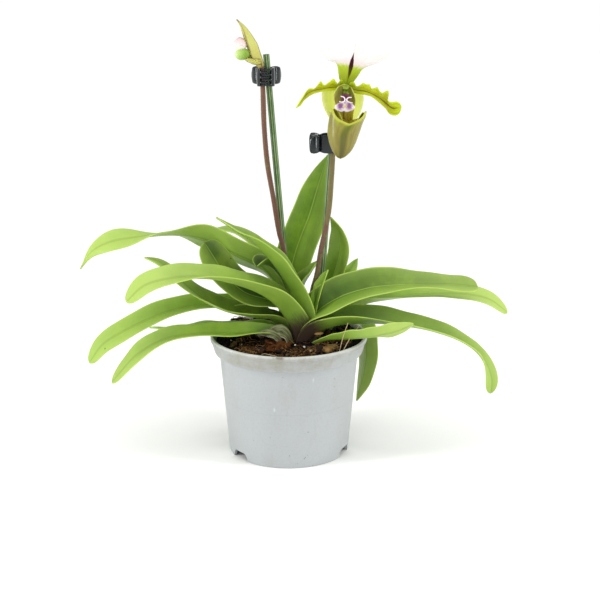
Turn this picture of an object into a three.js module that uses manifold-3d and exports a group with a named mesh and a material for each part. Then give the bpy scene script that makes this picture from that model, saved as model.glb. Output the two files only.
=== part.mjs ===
// A slipper orchid in a nursery pot. Millimetres, +Z up, front of the plant towards -Y.
// The origin is the centre of the pot's foot, on the surface that the pot stands on.
import * as THREE from "three";
import { mergeVertices } from "three/addons/utils/BufferGeometryUtils.js";
import Module from "manifold-3d";

const wasm = await Module();
wasm.setup();

// ---- driving dimensions -------------------------------------------------------------------
const CLEARANCE = 0.3;        // gap between pieces that touch

const POT_HEIGHT = 93;
const POT_RIM_RADIUS = 60;    // a 12 cm pot
const POT_COLLAR_DROP = 13;   // height of the band under the rim
const POT_COLLAR_FOOT_RADIUS = 57.2;
const POT_SHOULDER_RADIUS = 53.6;
const POT_BASE_RADIUS = 46.6;
const POT_WALL = 1.4;
const POT_FOOT_LIFT = 5;      // height of the floor over the surface the pot stands on
const POT_CENTRE_FOOT_RADIUS = 13;
const POT_NOTCH_COUNT = 3;
const POT_NOTCH_TURN = 67;    // degrees from the front towards +X
const POT_NOTCH_WIDTH = 21;
const POT_NOTCH_HEIGHT = 6.4;
const POT_DRAIN_RADIUS = 3.5;
const POT_DRAIN_CIRCLE = 28;
const POT_SEGMENTS = 32;

const MIX_TOP = 84;
const MIX_CROWN_RISE = 4;     // the mix is heaped a little round the crown
const MIX_SEGMENTS = 20;

const STEM_RADIUS = 1.75;
const STICK_RADIUS = 2.2;
const STICK_SIDES = 6;
const STICK_FOOT = 30;        // how deep the sticks reach, above the pot's foot

const LEAF_THICKNESS = 1.5;
const LEAF_EDGE = 0.7;
const BLADE_STATIONS = 11;
const SEPAL_THICKNESS = 1;

const CLIP_HEIGHT = 13.4;     // along the pin
const CLIP_WALL = 1.8;
const CLIP_TOOTH = 1.3;
const CLIP_TOOTH_PITCH = 1.9;
const CLIP_PIN_RADIUS = 0.85;
const CLIP_PIN_PLAY = 0.1;    // the jaws turn freely on the pin
const CLIP_PIN_SIDES = 12;
const CLIP_KNUCKLE_RADIUS = 2.4;
const CLIP_KNUCKLE = 2.1;     // length of each knuckle along the pin

// ---- solids -------------------------------------------------------------------------------
function toManifold(geometry) {
  const bare = geometry.clone();
  bare.deleteAttribute("normal");
  bare.deleteAttribute("uv");
  const merged = mergeVertices(bare, 1e-4);
  return new wasm.Manifold(new wasm.Mesh({
    numProp: 3,
    vertProperties: Float32Array.from(merged.attributes.position.array),
    triVerts: Uint32Array.from(merged.index.array),
  }));
}

function toGeometry(manifold) {
  const mesh = manifold.getMesh();
  const geometry = new THREE.BufferGeometry();
  geometry.setAttribute("position", new THREE.BufferAttribute(mesh.vertProperties, 3));
  geometry.setIndex(new THREE.BufferAttribute(mesh.triVerts, 1));
  geometry.computeVertexNormals();
  return geometry;
}

function largestPiece(manifold) {
  return manifold.decompose().sort((a, b) => b.volume() - a.volume())[0];
}

function gridGeometry(rings, capFirst, capLast) {
  const positions = rings.flat().flatMap((p) => [p.x, p.y, p.z]);
  const around = rings[0].length;
  const index = [];
  for (let i = 0; i + 1 < rings.length; i += 1) {
    for (let j = 0; j < around; j += 1) {
      const a = i * around + j;
      const b = i * around + (j + 1) % around;
      index.push(a, b, b + around, a, b + around, a + around);
    }
  }
  const last = (rings.length - 1) * around;
  capFirst.forEach(([a, b, c]) => index.push(a, c, b));
  capLast.forEach(([a, b, c]) => index.push(last + a, last + b, last + c));
  const geometry = new THREE.BufferGeometry();
  geometry.setAttribute("position", new THREE.Float32BufferAttribute(positions, 3));
  geometry.setIndex(index);
  return geometry;
}

const vec = ([x, y, z]) => new THREE.Vector3(x, y, z);
const smooth = (a, b, x) => THREE.MathUtils.smoothstep(x, a, b);
const degrees = THREE.MathUtils.degToRad;

// Value at t of evenly spaced values, eased between them.
function ramp(values, t) {
  const place = t * (values.length - 1);
  const i = Math.min(values.length - 2, Math.floor(place));
  return THREE.MathUtils.lerp(values[i], values[i + 1], smooth(0, 1, place - i));
}

// Half width along a blade, as a share of its greatest half width.
function bladeOutline({ neck = 0.5, belly = 0.4, shoulder = 0.6, tip = 0.75, shares }, t) {
  if (shares) return ramp(shares, t);
  const fromBase = THREE.MathUtils.lerp(neck, 1, smooth(0, belly, t));
  const past = Math.max(0, (t - shoulder) / (1 - shoulder));
  return fromBase * Math.max(0.03, (1 - past ** 2) ** tip);
}

const BLADE_CAP = [
  [0, 1, 9], [1, 2, 9], [2, 8, 9], [2, 3, 8], [3, 7, 8], [3, 4, 7], [4, 6, 7], [4, 5, 6],
];

// A leaf, sepal or petal: a folded strip swept along its midrib.
function bladeGeometry(blade, grow = 0) {
  const { path, heading, width, turn, fold, stations = BLADE_STATIONS } = blade;
  const thickness = (blade.thickness ?? LEAF_THICKNESS) / 2 + grow;
  const edge = (blade.edge ?? LEAF_EDGE) / 2 + grow;
  const curve = new THREE.CatmullRomCurve3(path.map(vec), false, "centripetal");
  const levelSide = new THREE.Vector3(-Math.sin(degrees(heading)), Math.cos(degrees(heading)), 0);
  const rings = [];
  for (let i = 0; i < stations; i += 1) {
    const t = 1 - (1 - i / (stations - 1)) ** 1.25;
    const along = curve.getTangentAt(t);
    const side = levelSide.clone().addScaledVector(along, -along.dot(levelSide)).normalize();
    side.applyAxisAngle(along, degrees(ramp(turn, t)));
    const up = new THREE.Vector3().crossVectors(along, side);
    const centre = curve.getPointAt(t);
    if (i === 0) centre.addScaledVector(along, -grow);
    if (i === stations - 1) centre.addScaledVector(along, grow);
    const half = (width / 2) * bladeOutline(blade, t) + grow;
    const angle = degrees(ramp(fold, t));
    const place = (s, n) => centre.clone().addScaledVector(side, s).addScaledVector(up, n);
    const flank = (sign, share, offset) => place(
      sign * (share * half * Math.cos(angle) - offset * Math.sin(angle)),
      share * half * Math.sin(angle) + offset * Math.cos(angle),
    );
    const middle = (thickness + edge) / 2;
    rings.push([
      flank(1, 1, edge),
      flank(1, 0.5, middle),
      place(0, thickness / Math.cos(angle)),
      flank(-1, 0.5, middle),
      flank(-1, 1, edge),
      flank(-1, 1, -edge),
      flank(-1, 0.5, -middle),
      place(0, -thickness / Math.cos(angle)),
      flank(1, 0.5, -middle),
      flank(1, 1, -edge),
    ]);
  }
  return gridGeometry(rings, BLADE_CAP, BLADE_CAP);
}

function tubeGeometry(path, radius, steps, sides = 8) {
  const section = new THREE.Shape();
  for (let i = 0; i < sides; i += 1) {
    const angle = (i / sides) * 2 * Math.PI;
    const point = [radius * Math.cos(angle), radius * Math.sin(angle)];
    if (i === 0) section.moveTo(...point);
    else section.lineTo(...point);
  }
  section.closePath();
  const curve = new THREE.CatmullRomCurve3(path.map(vec), false, "centripetal");
  return new THREE.ExtrudeGeometry(section, { steps, extrudePath: curve, bevelEnabled: false });
}

function ellipsoidGeometry(centre, radii, around = 16, down = 10) {
  const geometry = new THREE.SphereGeometry(1, around, down);
  geometry.scale(...radii);
  geometry.translate(...centre);
  return geometry;
}

// ---- materials ----------------------------------------------------------------------------
const finish = (color, roughness, metalness = 0) =>
  new THREE.MeshStandardMaterial({ color, roughness, metalness });

const potPlastic = finish(0xb4bdc2, 0.55);
const barkMix = finish(0x3c2a1d, 0.95);
const leafSkin = finish(0x6f9a3a, 0.5);
const budStem = finish(0x6d4a3c, 0.7);
const stickGreen = finish(0x3f7a35, 0.45);
const sepalWhite = finish(0xf4eef0, 0.6);
const petalGreen = finish(0x9db52f, 0.55);
const pouchSkin = finish(0x8b8430, 0.45);
const shieldWhite = finish(0xe9d3e6, 0.5);
const clipBlack = finish(0x15181a, 0.3);
const springSteel = finish(0xb9bcc0, 0.3, 1);

const plant = new THREE.Group();

function add(name, geometry, material, parent = plant) {
  const mesh = new THREE.Mesh(geometry, material);
  mesh.name = name;
  parent.add(mesh);
}

// ---- pot ----------------------------------------------------------------------------------
const potInnerRadius = (z) => THREE.MathUtils.lerp(
  POT_BASE_RADIUS, POT_SHOULDER_RADIUS, z / (POT_HEIGHT - POT_COLLAR_DROP - 1),
) - POT_WALL;

function potGeometry() {
  const floorTop = POT_FOOT_LIFT + POT_WALL;
  const collarFoot = POT_HEIGHT - POT_COLLAR_DROP;
  const profile = [
    [0, 0],
    [POT_CENTRE_FOOT_RADIUS, 0],
    [POT_CENTRE_FOOT_RADIUS + 1, POT_FOOT_LIFT],
    [POT_BASE_RADIUS - POT_WALL - 1, POT_FOOT_LIFT],
    [POT_BASE_RADIUS - POT_WALL - 0.4, 0],
    [POT_BASE_RADIUS, 0],
    [POT_SHOULDER_RADIUS, collarFoot - 1],
    [POT_COLLAR_FOOT_RADIUS, collarFoot],
    [POT_RIM_RADIUS - 0.6, POT_HEIGHT - 4.4],
    [POT_RIM_RADIUS + 0.6, POT_HEIGHT - 3.8],
    [POT_RIM_RADIUS + 0.6, POT_HEIGHT - 0.8],
    [POT_RIM_RADIUS, POT_HEIGHT],
    [POT_RIM_RADIUS - POT_WALL, POT_HEIGHT],
    [POT_COLLAR_FOOT_RADIUS - POT_WALL, collarFoot + 1.2],
    [potInnerRadius(collarFoot), collarFoot],
    [potInnerRadius(floorTop), floorTop],
    [POT_CENTRE_FOOT_RADIUS + 0.6, floorTop],
    [POT_CENTRE_FOOT_RADIUS - 0.6, POT_WALL],
    [0, POT_WALL],
  ];
  const lathe = new THREE.LatheGeometry(profile.map(([x, y]) => new THREE.Vector2(x, y)), POT_SEGMENTS);
  lathe.rotateX(Math.PI / 2);
  let pot = toManifold(lathe);
  const arch = new THREE.Shape();
  arch.absellipse(0, 0, POT_NOTCH_WIDTH / 2, POT_NOTCH_HEIGHT, 0, 2 * Math.PI);
  for (let i = 0; i < POT_NOTCH_COUNT; i += 1) {
    const turn = POT_NOTCH_TURN - 90 + (i * 360) / POT_NOTCH_COUNT;
    const notch = new THREE.ExtrudeGeometry(arch, { depth: 14, bevelEnabled: false, curveSegments: 6 });
    notch.rotateX(Math.PI / 2);
    notch.rotateZ(Math.PI / 2);
    notch.translate(POT_BASE_RADIUS - 10, 0, 0);
    notch.rotateZ(degrees(turn));
    pot = pot.subtract(toManifold(notch));
    const drain = new THREE.CylinderGeometry(POT_DRAIN_RADIUS, POT_DRAIN_RADIUS, 4, 12);
    drain.rotateX(Math.PI / 2);
    drain.translate(POT_DRAIN_CIRCLE, 0, POT_FOOT_LIFT + POT_WALL / 2);
    drain.rotateZ(degrees(turn + 180 / POT_NOTCH_COUNT));
    pot = pot.subtract(toManifold(drain));
  }
  return toGeometry(pot);
}
add("pot", potGeometry(), potPlastic);

// ---- rootstock: four growths on one rhizome ----------------------------------------------
const GROWTHS = [
  { centre: [9, -12, 82], radii: [9, 8, 9] },
  { centre: [12, 1, 82], radii: [7, 7, 9] },
  { centre: [2, 12, 82], radii: [8, 8, 9] },
  { centre: [27, 15, 82], radii: [8, 7, 8.5] },
];
const RHIZOME = [[9, -12, 79], [11, 1, 79], [4, 13, 79], [15, 17, 79], [27, 15, 79]];

function rootstock(grow) {
  const lumps = GROWTHS.map(({ centre, radii }) =>
    toManifold(ellipsoidGeometry(centre, radii.map((r) => r + grow), 10, 7)));
  const rhizome = tubeGeometry(RHIZOME, 4 + grow, 7, 6);
  return [...lumps, toManifold(rhizome)].reduce((a, b) => a.add(b));
}

// ---- trimming: a piece is cut back to a clearance from those already placed -----------------
const placed = [];

function place(name, material, make) {
  const cut = placed.reduce((solid, other) => solid.subtract(other), make(0));
  add(name, toGeometry(largestPiece(cut)), material);
  placed.push(make(CLEARANCE));
}
const blade = (shape) => (grow) => toManifold(bladeGeometry(shape, grow));
const tube = (path, radius, steps, sides) => (grow) => {
  const points = path.map(vec);
  const longer = (end, next) => end.clone().add(end.clone().sub(next).setLength(grow)).toArray();
  const run = grow > 0
    ? [longer(points[0], points[1]), ...path, longer(points.at(-1), points.at(-2))]
    : path;
  return toManifold(tubeGeometry(run, radius + grow, steps, sides));
};
const ellipsoid = (centre, radii) => (grow) =>
  toManifold(ellipsoidGeometry(centre, radii.map((r) => r + grow), 12, 8));

// ---- support sticks -------------------------------------------------------------------------
const BUD_STICK = { top: [-16.5, 20, 304.4], low: [-4.5, 20, 161.6] };
const FLOWER_STICK = { top: [32.8, -4, 250], low: [24.9, 2, 127.3] };

function stickPath({ top, low }) {
  const share = (STICK_FOOT - low[2]) / (top[2] - low[2]);
  const foot = vec(low).lerp(vec(top), share);
  return [foot.toArray(), low, top];
}
place("bud_stick", stickGreen, tube(stickPath(BUD_STICK), STICK_RADIUS, 2, STICK_SIDES));
place("flower_stick", stickGreen, tube(stickPath(FLOWER_STICK), STICK_RADIUS, 2, STICK_SIDES));
place("rootstock", barkMix, rootstock);

// ---- potting mix: fills the pot up to MIX_TOP, heaped round the crown --------------------------
function mixGeometry() {
  const floor = POT_FOOT_LIFT + POT_WALL + CLEARANCE;
  const fit = CLEARANCE + 0.25;
  const profile = [
    [0, POT_WALL + CLEARANCE],
    [POT_CENTRE_FOOT_RADIUS - 1.2, POT_WALL + CLEARANCE],
    [POT_CENTRE_FOOT_RADIUS, floor],
    [potInnerRadius(floor) - fit, floor],
    [potInnerRadius(MIX_TOP - 5) - fit, MIX_TOP - 5],
    [potInnerRadius(MIX_TOP - 5) - fit, MIX_TOP - 1],
    [42, MIX_TOP],
    [32, MIX_TOP],
    [22, MIX_TOP],
    [11, MIX_TOP],
    [0, MIX_TOP],
  ];
  const lathe = new THREE.LatheGeometry(profile.map(([x, y]) => new THREE.Vector2(x, y)), MIX_SEGMENTS);
  lathe.rotateX(Math.PI / 2);
  const points = lathe.attributes.position;
  for (let i = 0; i < points.count; i += 1) {
    const [x, y, z] = [points.getX(i), points.getY(i), points.getZ(i)];
    if (z > MIX_TOP - 0.5) {
      const heap = MIX_CROWN_RISE * Math.exp(-((x - 10) ** 2 + y ** 2) / 500);
      const lumps = Math.sin(x * 0.35) * Math.cos(y * 0.31) + 0.6 * Math.sin(x * 0.9 + 1) * Math.sin(y * 0.8);
      points.setZ(i, z + heap + lumps);
    }
  }
  return lathe;
}
place("potting_mix", barkMix, () => toManifold(mixGeometry()));

// ---- bud spike ------------------------------------------------------------------------------
place("bud_stem", budStem, tube([
  [1, 11, 88], [-0.5, 12.5, 118], [-2.5, 14.5, 140], [-4.6, 16, 159], [-7, 16, 168], [-11.4, 16, 195],
  [-16, 16, 223], [-18.2, 16, 250], [-19.1, 16, 281], [-20, 16, 295],
], STEM_RADIUS, 16));
place("bud_ovary", petalGreen, tube([
  [-20.2, 15.8, 295.4], [-21.2, 15, 299.5], [-24.5, 13.5, 302], [-29.5, 11.5, 303.5],
], 1.5, 6));
place("bud_synsepal", petalGreen, ellipsoid([-34, 10, 305.6], [5.8, 4.6, 3.9]));
place("bud_dorsal_sepal", sepalWhite, ellipsoid([-36.3, 10, 312.6], [4.4, 4.6, 4.7]));
place("bud_bract", petalGreen, blade({
  path: [[-18, 16.4, 295.8], [-20.2, 15.6, 303], [-22.6, 14.6, 311], [-26.2, 13.6, 318], [-31.8, 12.6, 325],
    [-37.9, 12, 330.3]],
  heading: 0, width: 17, turn: [0, 0, 0], fold: [72, 58, 30], tip: 0.9, neck: 0.45, belly: 0.35,
  shoulder: 0.35, thickness: 0.9, edge: 0.5,
}));

// ---- flower spike ---------------------------------------------------------------------------
place("flower_stem", budStem, tube([
  [14, -3, 89], [15.7, -4, 100], [18.2, -5, 128], [21.4, -6, 141], [24.6, -8, 161], [29.3, -9, 185],
  [31.1, -9.5, 200], [32.9, -10, 233], [33.4, -10, 242], [33.8, -9.8, 249],
], STEM_RADIUS, 14));
place("ovary", petalGreen, tube([
  [33.9, -9.7, 249.4], [34.8, -9, 256], [36.6, -8.5, 264], [39.6, -9.5, 275], [41.6, -13, 282], [42.4, -17, 284.5],
], 1.9, 9));
place("flower_bract", petalGreen, blade({
  path: [[36, -6.6, 250.6], [37.8, -5, 257], [39.6, -3.8, 263], [41.2, -3.2, 270]],
  heading: 230, width: 13, turn: [0, 0, 0], fold: [68, 50, 30], tip: 0.9, neck: 0.5, belly: 0.3,
  shoulder: 0.4, thickness: 0.9, edge: 0.5,
}));

const columnNeck = tube([[42.4, -17.4, 284], [42, -25, 281], [41.2, -33, 276]], 2.6, 5);
const columnShield = ellipsoid([40.9, -35.4, 273.6], [6.8, 2.4, 6.2]);
place("column", shieldWhite, (grow) => columnNeck(grow).add(columnShield(grow)));

place("dorsal_sepal", sepalWhite, blade({
  path: [[43.2, -16.2, 286.6], [44.4, -19.5, 295], [45.5, -23.5, 303], [46.4, -26.6, 309], [47, -29, 315]],
  heading: 90, width: 54, turn: [-8, -8, -8], fold: [25, 2, -14],
  shares: [0.08, 0.22, 0.42, 0.8, 1, 0.55], thickness: SEPAL_THICKNESS, edge: 0.7,
}));
place("synsepal", petalGreen, blade({
  path: [[42, -15, 281.6], [40.6, -13.4, 275], [39.7, -13.6, 267], [38.8, -15.6, 259]],
  heading: 270, width: 30, turn: [0, 0, 0], fold: [14, 10, 4],
  shares: [0.4, 1, 1, 0.8, 0.3], thickness: SEPAL_THICKNESS, edge: 0.7,
}));
place("petal_left", petalGreen, blade({
  path: [[41, -18.4, 285.4], [32.4, -22, 286.5], [23.8, -25, 285.6], [15.5, -27.5, 281.6], [10.2, -29.5, 277],
    [5.6, -31, 271]],
  heading: 190, width: 9.5, turn: [-60, -50, -50], fold: [10, 6, 4], neck: 0.7, belly: 0.3, tip: 0.7,
  shoulder: 0.5, thickness: SEPAL_THICKNESS, edge: 0.7,
}));
place("petal_right", petalGreen, blade({
  path: [[44.2, -18.4, 285], [50.4, -22, 283.8], [56.4, -24.6, 284], [62.8, -27, 281.6], [69.5, -29, 277.5],
    [75.9, -31, 271.4], [80, -32, 266.6]],
  heading: 350, width: 11, turn: [60, 55, 60], fold: [10, 6, 4], neck: 0.6, belly: 0.3, tip: 0.5,
  shoulder: 0.75, thickness: SEPAL_THICKNESS, edge: 0.7,
}));

// The pouch is a thin bag, open at the top, with a notch in front and a horn at each corner.
const POUCH = {
  rim: [43.3, -34, 268], toe: [37.3, -39, 235.6], wall: 1.2, rings: 8, around: 18,
  across: [11, 9.9, 11, 11.9, 11.4, 9.2, 5.6, 0], deep: [9.5, 9.4, 10.4, 11, 10.4, 8.2, 5, 0],
};

// Height of the pouch's rim over its mean level, by angle from the front.
function pouchRim(angle) {
  const front = -6 * Math.exp(-((angle / 0.42) ** 2));
  const horns = 3.4 * Math.exp(-(((Math.abs(angle) - 1.15) / 0.4) ** 2));
  const back = 10 * Math.exp(-(((Math.PI - Math.abs(angle)) / 0.6) ** 2));
  return front + horns + back;
}

function pouch() {
  const { rim, toe, wall, rings, around, across, deep } = POUCH;
  const layer = (inset) => Array.from({ length: rings }, (_, i) => {
    const u = i / (rings - 1);
    const centre = vec(rim).lerp(vec(toe), u);
    return Array.from({ length: around }, (__, j) => {
      const angle = Math.PI - (j / around) * 2 * Math.PI;
      const x = Math.max(0, across[i] - inset) * Math.sin(angle);
      const y = -Math.max(0, deep[i] - inset) * Math.cos(angle);
      const lift = pouchRim(angle) * (1 - u) ** 2 + (i === rings - 1 ? inset : 0);
      return new THREE.Vector3(centre.x + x, centre.y + y, centre.z + lift);
    });
  });
  const shell = [...layer(wall).reverse(), ...layer(0)];
  return toManifold(gridGeometry(shell, [], []));
}
place("pouch", pouchSkin, pouch);

// ---- claw clips -----------------------------------------------------------------------------
// In a clip's own frame the pin stands on Z and the mouth opens towards +Y.
const JAW_LINE = [
  [10.8, -5.6], [7.6, -3.4], [4.5, 0], [5.2, 3.6], [6.6, 7.2], [6.8, 10.4], [6.2, 12.8], [4.6, 14.4],
];
const TOOTH_LINE = [[6.2, 12.8], [4, 14.7], [0.8, 15.2], [-2.6, 14.8]];
const TOOTH_LEVELS = {
  fixed: [-3, -1, 1, 3],
  moving: [-2, 0, 2],
};
const KNUCKLE_LEVELS = { fixed: 5.4, moving: 3 };

function ribbon(line, width, height, level) {
  const curve = new THREE.SplineCurve(line.map(([x, y]) => new THREE.Vector2(x, y)));
  const steps = line.length + 1;
  const edges = [1, -1].map((sign) => Array.from({ length: steps + 1 }, (_, i) => {
    const along = curve.getTangent(i / steps);
    const point = curve.getPoint(i / steps);
    return new THREE.Vector2(point.x - sign * along.y * width / 2, point.y + sign * along.x * width / 2);
  }));
  const outline = new THREE.Shape([...edges[0], ...edges[1].reverse()]);
  const solid = new THREE.ExtrudeGeometry(outline, { depth: height, bevelEnabled: false });
  solid.translate(0, 0, level - height / 2);
  return toManifold(solid);
}

// An upright rod, measured across its flats.
function upright(radius, height, level, sides) {
  const corner = radius / Math.cos(Math.PI / sides);
  const rod = new THREE.CylinderGeometry(corner, corner, height, sides);
  rod.rotateX(Math.PI / 2);
  rod.translate(0, 0, level);
  return toManifold(rod);
}

// Both jaws are drawn on the +X side; the fixed one is then turned over to the -X side.
function jaw(kind) {
  let solid = ribbon(JAW_LINE, CLIP_WALL, CLIP_HEIGHT, 0);
  TOOTH_LEVELS[kind].forEach((level) => {
    solid = solid.add(ribbon(TOOTH_LINE, CLIP_TOOTH, CLIP_TOOTH, level * CLIP_TOOTH_PITCH));
  });
  [-1, 1].forEach((sign) => {
    const level = sign * KNUCKLE_LEVELS[kind];
    const web = new THREE.BoxGeometry(3.4, 2.2, CLIP_KNUCKLE);
    web.translate(2.8, 0, level);
    solid = solid.add(upright(CLIP_KNUCKLE_RADIUS, CLIP_KNUCKLE, level, 12)).add(toManifold(web));
  });
  return solid.subtract(upright(CLIP_PIN_RADIUS + CLIP_PIN_PLAY, CLIP_HEIGHT + 1, 0, CLIP_PIN_SIDES));
}

function clawClip(name, pivot, turn) {
  const clip = new THREE.Group();
  clip.name = name;
  clip.position.set(...pivot);
  clip.rotation.z = degrees(turn);
  plant.add(clip);
  const fixed = toGeometry(jaw("fixed"));
  fixed.rotateZ(Math.PI);
  fixed.rotateX(Math.PI);
  const spring = upright(CLIP_PIN_RADIUS + 1.2, 3.2, 0, 12)
    .subtract(upright(CLIP_PIN_RADIUS + CLEARANCE, 4, 0, CLIP_PIN_SIDES));
  const pieces = [
    ["fixed_jaw", fixed, clipBlack],
    ["moving_jaw", toGeometry(jaw("moving")), clipBlack],
    ["pin", toGeometry(upright(CLIP_PIN_RADIUS, CLIP_HEIGHT, 0, CLIP_PIN_SIDES)), springSteel],
    ["spring", toGeometry(spring), springSteel],
  ];
  pieces.forEach(([piece, geometry, material]) => add(`${name}_${piece}`, geometry, material, clip));
}
clawClip("bud_clip", [-16.8, 27.8, 288], 180);
clawClip("flower_clip", [21.9, -6.8, 242], -90);

// ---- leaves -------------------------------------------------------------------------------
// path: midrib from the growth to the tip. heading: the way the leaf grows, in degrees from +X.
// turn: roll about the growing direction, and fold: rise of each half, at base, middle and tip.
const LEAVES = [
  { path: [[6, -12, 90], [4, -15, 102], [-3, -19, 116], [-14, -23, 128], [-32, -29, 139], [-60, -38, 147],
    [-86, -45, 147], [-104, -50, 142], [-118, -55, 131]],
    heading: 198, width: 31, turn: [0, -5, -24], fold: [60, 28, 6], tip: 0.5 },
  { path: [[10, -10, 90], [8, -11, 106], [1, -13, 122], [-7, -15, 137], [-18, -17, 153], [-30, -20, 168],
    [-43, -23, 179], [-53, -26, 190]],
    heading: 187, width: 32, turn: [0, 0, 0], fold: [62, 46, 10], tip: 1.1, shoulder: 0.4 },
  { path: [[3, -7, 90], [-5, -8, 99], [-28, -10, 105], [-48, -12, 111], [-66, -14, 122], [-82, -15, 138],
    [-96, -15, 152], [-108, -15, 157]],
    heading: 182, width: 24, turn: [0, -8, -10], fold: [55, 20, 6], tip: 0.9 },
  { path: [[-1, 8, 90], [-12, 7, 107], [-34, 4, 115], [-60, 0, 118], [-86, -6, 115], [-113, -12, 104],
    [-135, -16, 91], [-153, -18, 75]],
    heading: 190, width: 30, turn: [0, -12, -24], fold: [50, 16, 8], tip: 0.5 },
  { path: [[3, -15, 90], [-6, -16, 97], [-20, -18, 99], [-40, -21, 98], [-66, -24, 97], [-92, -26, 91],
    [-112, -27, 80], [-133, -28, 61]],
    heading: 186, width: 25, turn: [0, -6, -24], fold: [50, 18, 8], tip: 0.7 },
  { path: [[-2, 12, 88], [-14, 14, 94], [-38, 17, 95], [-62, 19, 94], [-90, 20, 90], [-110, 20, 92]],
    heading: 178, width: 18, turn: [0, 0, -6], fold: [45, 20, 10], tip: 1.0 },
  { path: [[8, 0, 91], [1, 0, 112], [-14, -1, 124], [-34, -2, 132], [-48, -3, 146], [-58, -4, 158],
    [-64, -4, 165]],
    heading: 182, width: 30, turn: [0, -34, -50], fold: [50, 16, 8], tip: 0.45, shoulder: 0.75 },
  { path: [[3, 14, 90], [-6, 14, 122], [-20, 13, 142], [-40, 11, 153], [-58, 8, 163], [-72, 6, 169],
    [-88, 3, 171], [-116, -4, 170.5], [-134, -8, 168], [-148, -10, 160], [-156, -12, 149]],
    heading: 186, width: 28, turn: [10, 50, 56, -36, -50], fold: [55, 30, 14, 8], tip: 0.6, stations: 19 },
  { path: [[-2, 18, 90], [-10, 25, 122], [-19, 32, 148], [-33, 41, 163], [-52, 50, 165], [-72, 60, 159]],
    heading: 150, width: 24, turn: [0, 0, 0], fold: [50, 20, 10], tip: 0.8 },
  { path: [[4, 8, 91], [-2, 8, 122], [-9, 5, 142], [-17, 2, 150], [-26, -2, 146]],
    heading: 195, width: 14, turn: [0, 0, 0], fold: [55, 40, 30], tip: 0.8 },
  { path: [[14, -14, 90], [22, -18, 101], [38, -21, 110], [58, -25, 114], [82, -28, 114], [107, -31, 110],
    [130, -34, 101], [142, -35, 91], [149, -36, 80], [152, -36, 68], [152, -36, 57]],
    heading: 353, width: 30, turn: [0, 6, 2, 0, -5, 45], fold: [58, 22, 8], tip: 0.6 },
  { path: [[15, -3, 91], [21, -9, 110], [38, -13, 122], [60, -16, 131], [80, -18, 137], [100, -20, 140],
    [120, -21, 140.5], [141, -22, 138]],
    heading: 354, width: 34, turn: [0, 46, 24, 6, 10], fold: [55, 24, 4], tip: 0.4, shoulder: 0.75 },
  { path: [[29, 12, 89], [40, 10, 106], [60, 8, 117], [84, 6, 122], [112, 3, 125], [136, 1, 124],
    [154, -1, 119], [168, -3, 110]],
    heading: 356, width: 28, turn: [0, 6, 12], fold: [55, 20, 8], tip: 0.5 },
  { path: [[17, -16, 89], [28, -24, 96], [42, -33, 98], [58, -40, 101], [76, -45, 106], [92, -48, 114]],
    heading: 340, width: 20, turn: [-20, -40, -50], fold: [40, 20, 10], tip: 0.4, shoulder: 0.8 },
  { path: [[1, 19, 90], [0, 28, 118], [3, 32, 142], [9, 35, 161], [16, 36, 179], [22, 35, 200],
    [30, 31, 227]],
    heading: 88, width: 28, turn: [0, 0, 0], fold: [30, 14, 8], tip: 0.9 },
  { path: [[17, 5, 91], [28, 10, 116], [36, 12, 140], [40, 10, 158], [38, 7, 172], [32, 4, 184]],
    heading: 20, width: 20, turn: [40, 50, 40], fold: [50, 24, 10], tip: 0.9 },
  { path: [[28, 17, 90], [35, 22, 110], [44, 26, 128], [54, 28, 146]],
    heading: 40, width: 16, turn: [30, 30, 20], fold: [50, 20, 10], tip: 0.9 },
  { path: [[31, 18, 89], [42, 28, 100], [52, 40, 97], [59, 50, 82], [62, 56, 60], [60, 58, 38],
    [56, 57, 18]],
    heading: 50, width: 25, turn: [0, 10, 20], fold: [45, 14, 6], tip: 0.8 },
  { path: [[6, 18, 91], [8, 19, 116], [11, 20, 132], [16, 20, 141], [20, 20, 145]],
    heading: 20, width: 11, turn: [0, 0, 0], fold: [50, 40, 20], tip: 0.9 },
  { path: [[17, -6, 91], [20, -8, 117], [24, -9, 133], [30, -8, 146]],
    heading: 30, width: 11, turn: [30, 30, 20], fold: [50, 40, 20], tip: 0.9 },
];
LEAVES.forEach((leaf, i) => place(`leaf_${String(i + 1).padStart(2, "0")}`, leafSkin, blade(leaf)));

export default plant;
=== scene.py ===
"""A slipper orchid in its nursery pot: the visible pieces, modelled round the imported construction."""

import random
from math import atan2, copysign, cos, exp, hypot, pi, radians, sin, sqrt, tau

import bpy
from bpy.props import FloatProperty, FloatVectorProperty, IntProperty, PointerProperty
from mathutils import Matrix, Quaternion, Vector, noise


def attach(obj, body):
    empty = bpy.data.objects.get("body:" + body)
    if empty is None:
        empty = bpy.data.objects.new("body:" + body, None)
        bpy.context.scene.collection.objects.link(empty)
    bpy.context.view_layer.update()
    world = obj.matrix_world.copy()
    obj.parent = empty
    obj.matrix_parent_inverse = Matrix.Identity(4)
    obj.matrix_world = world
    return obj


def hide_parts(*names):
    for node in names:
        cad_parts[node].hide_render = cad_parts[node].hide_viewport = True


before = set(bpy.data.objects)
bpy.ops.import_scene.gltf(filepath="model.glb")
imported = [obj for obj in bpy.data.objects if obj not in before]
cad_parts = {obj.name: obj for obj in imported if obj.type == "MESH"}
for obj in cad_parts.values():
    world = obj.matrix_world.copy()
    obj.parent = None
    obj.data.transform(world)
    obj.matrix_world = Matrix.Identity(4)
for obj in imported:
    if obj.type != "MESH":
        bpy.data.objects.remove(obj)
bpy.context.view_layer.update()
MM = 0.001
PREFIX = "orchid."

bl_info = {
    "name": "Slipper Orchid in a Pot",
    "version": (1, 0, 0),
    "blender": (4, 5, 0),
    "location": "View3D > Sidebar > Orchid",
    "description": "Builds a slipper orchid, its support sticks and clips, and its nursery pot",
    "category": "Add Mesh",
}


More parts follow.
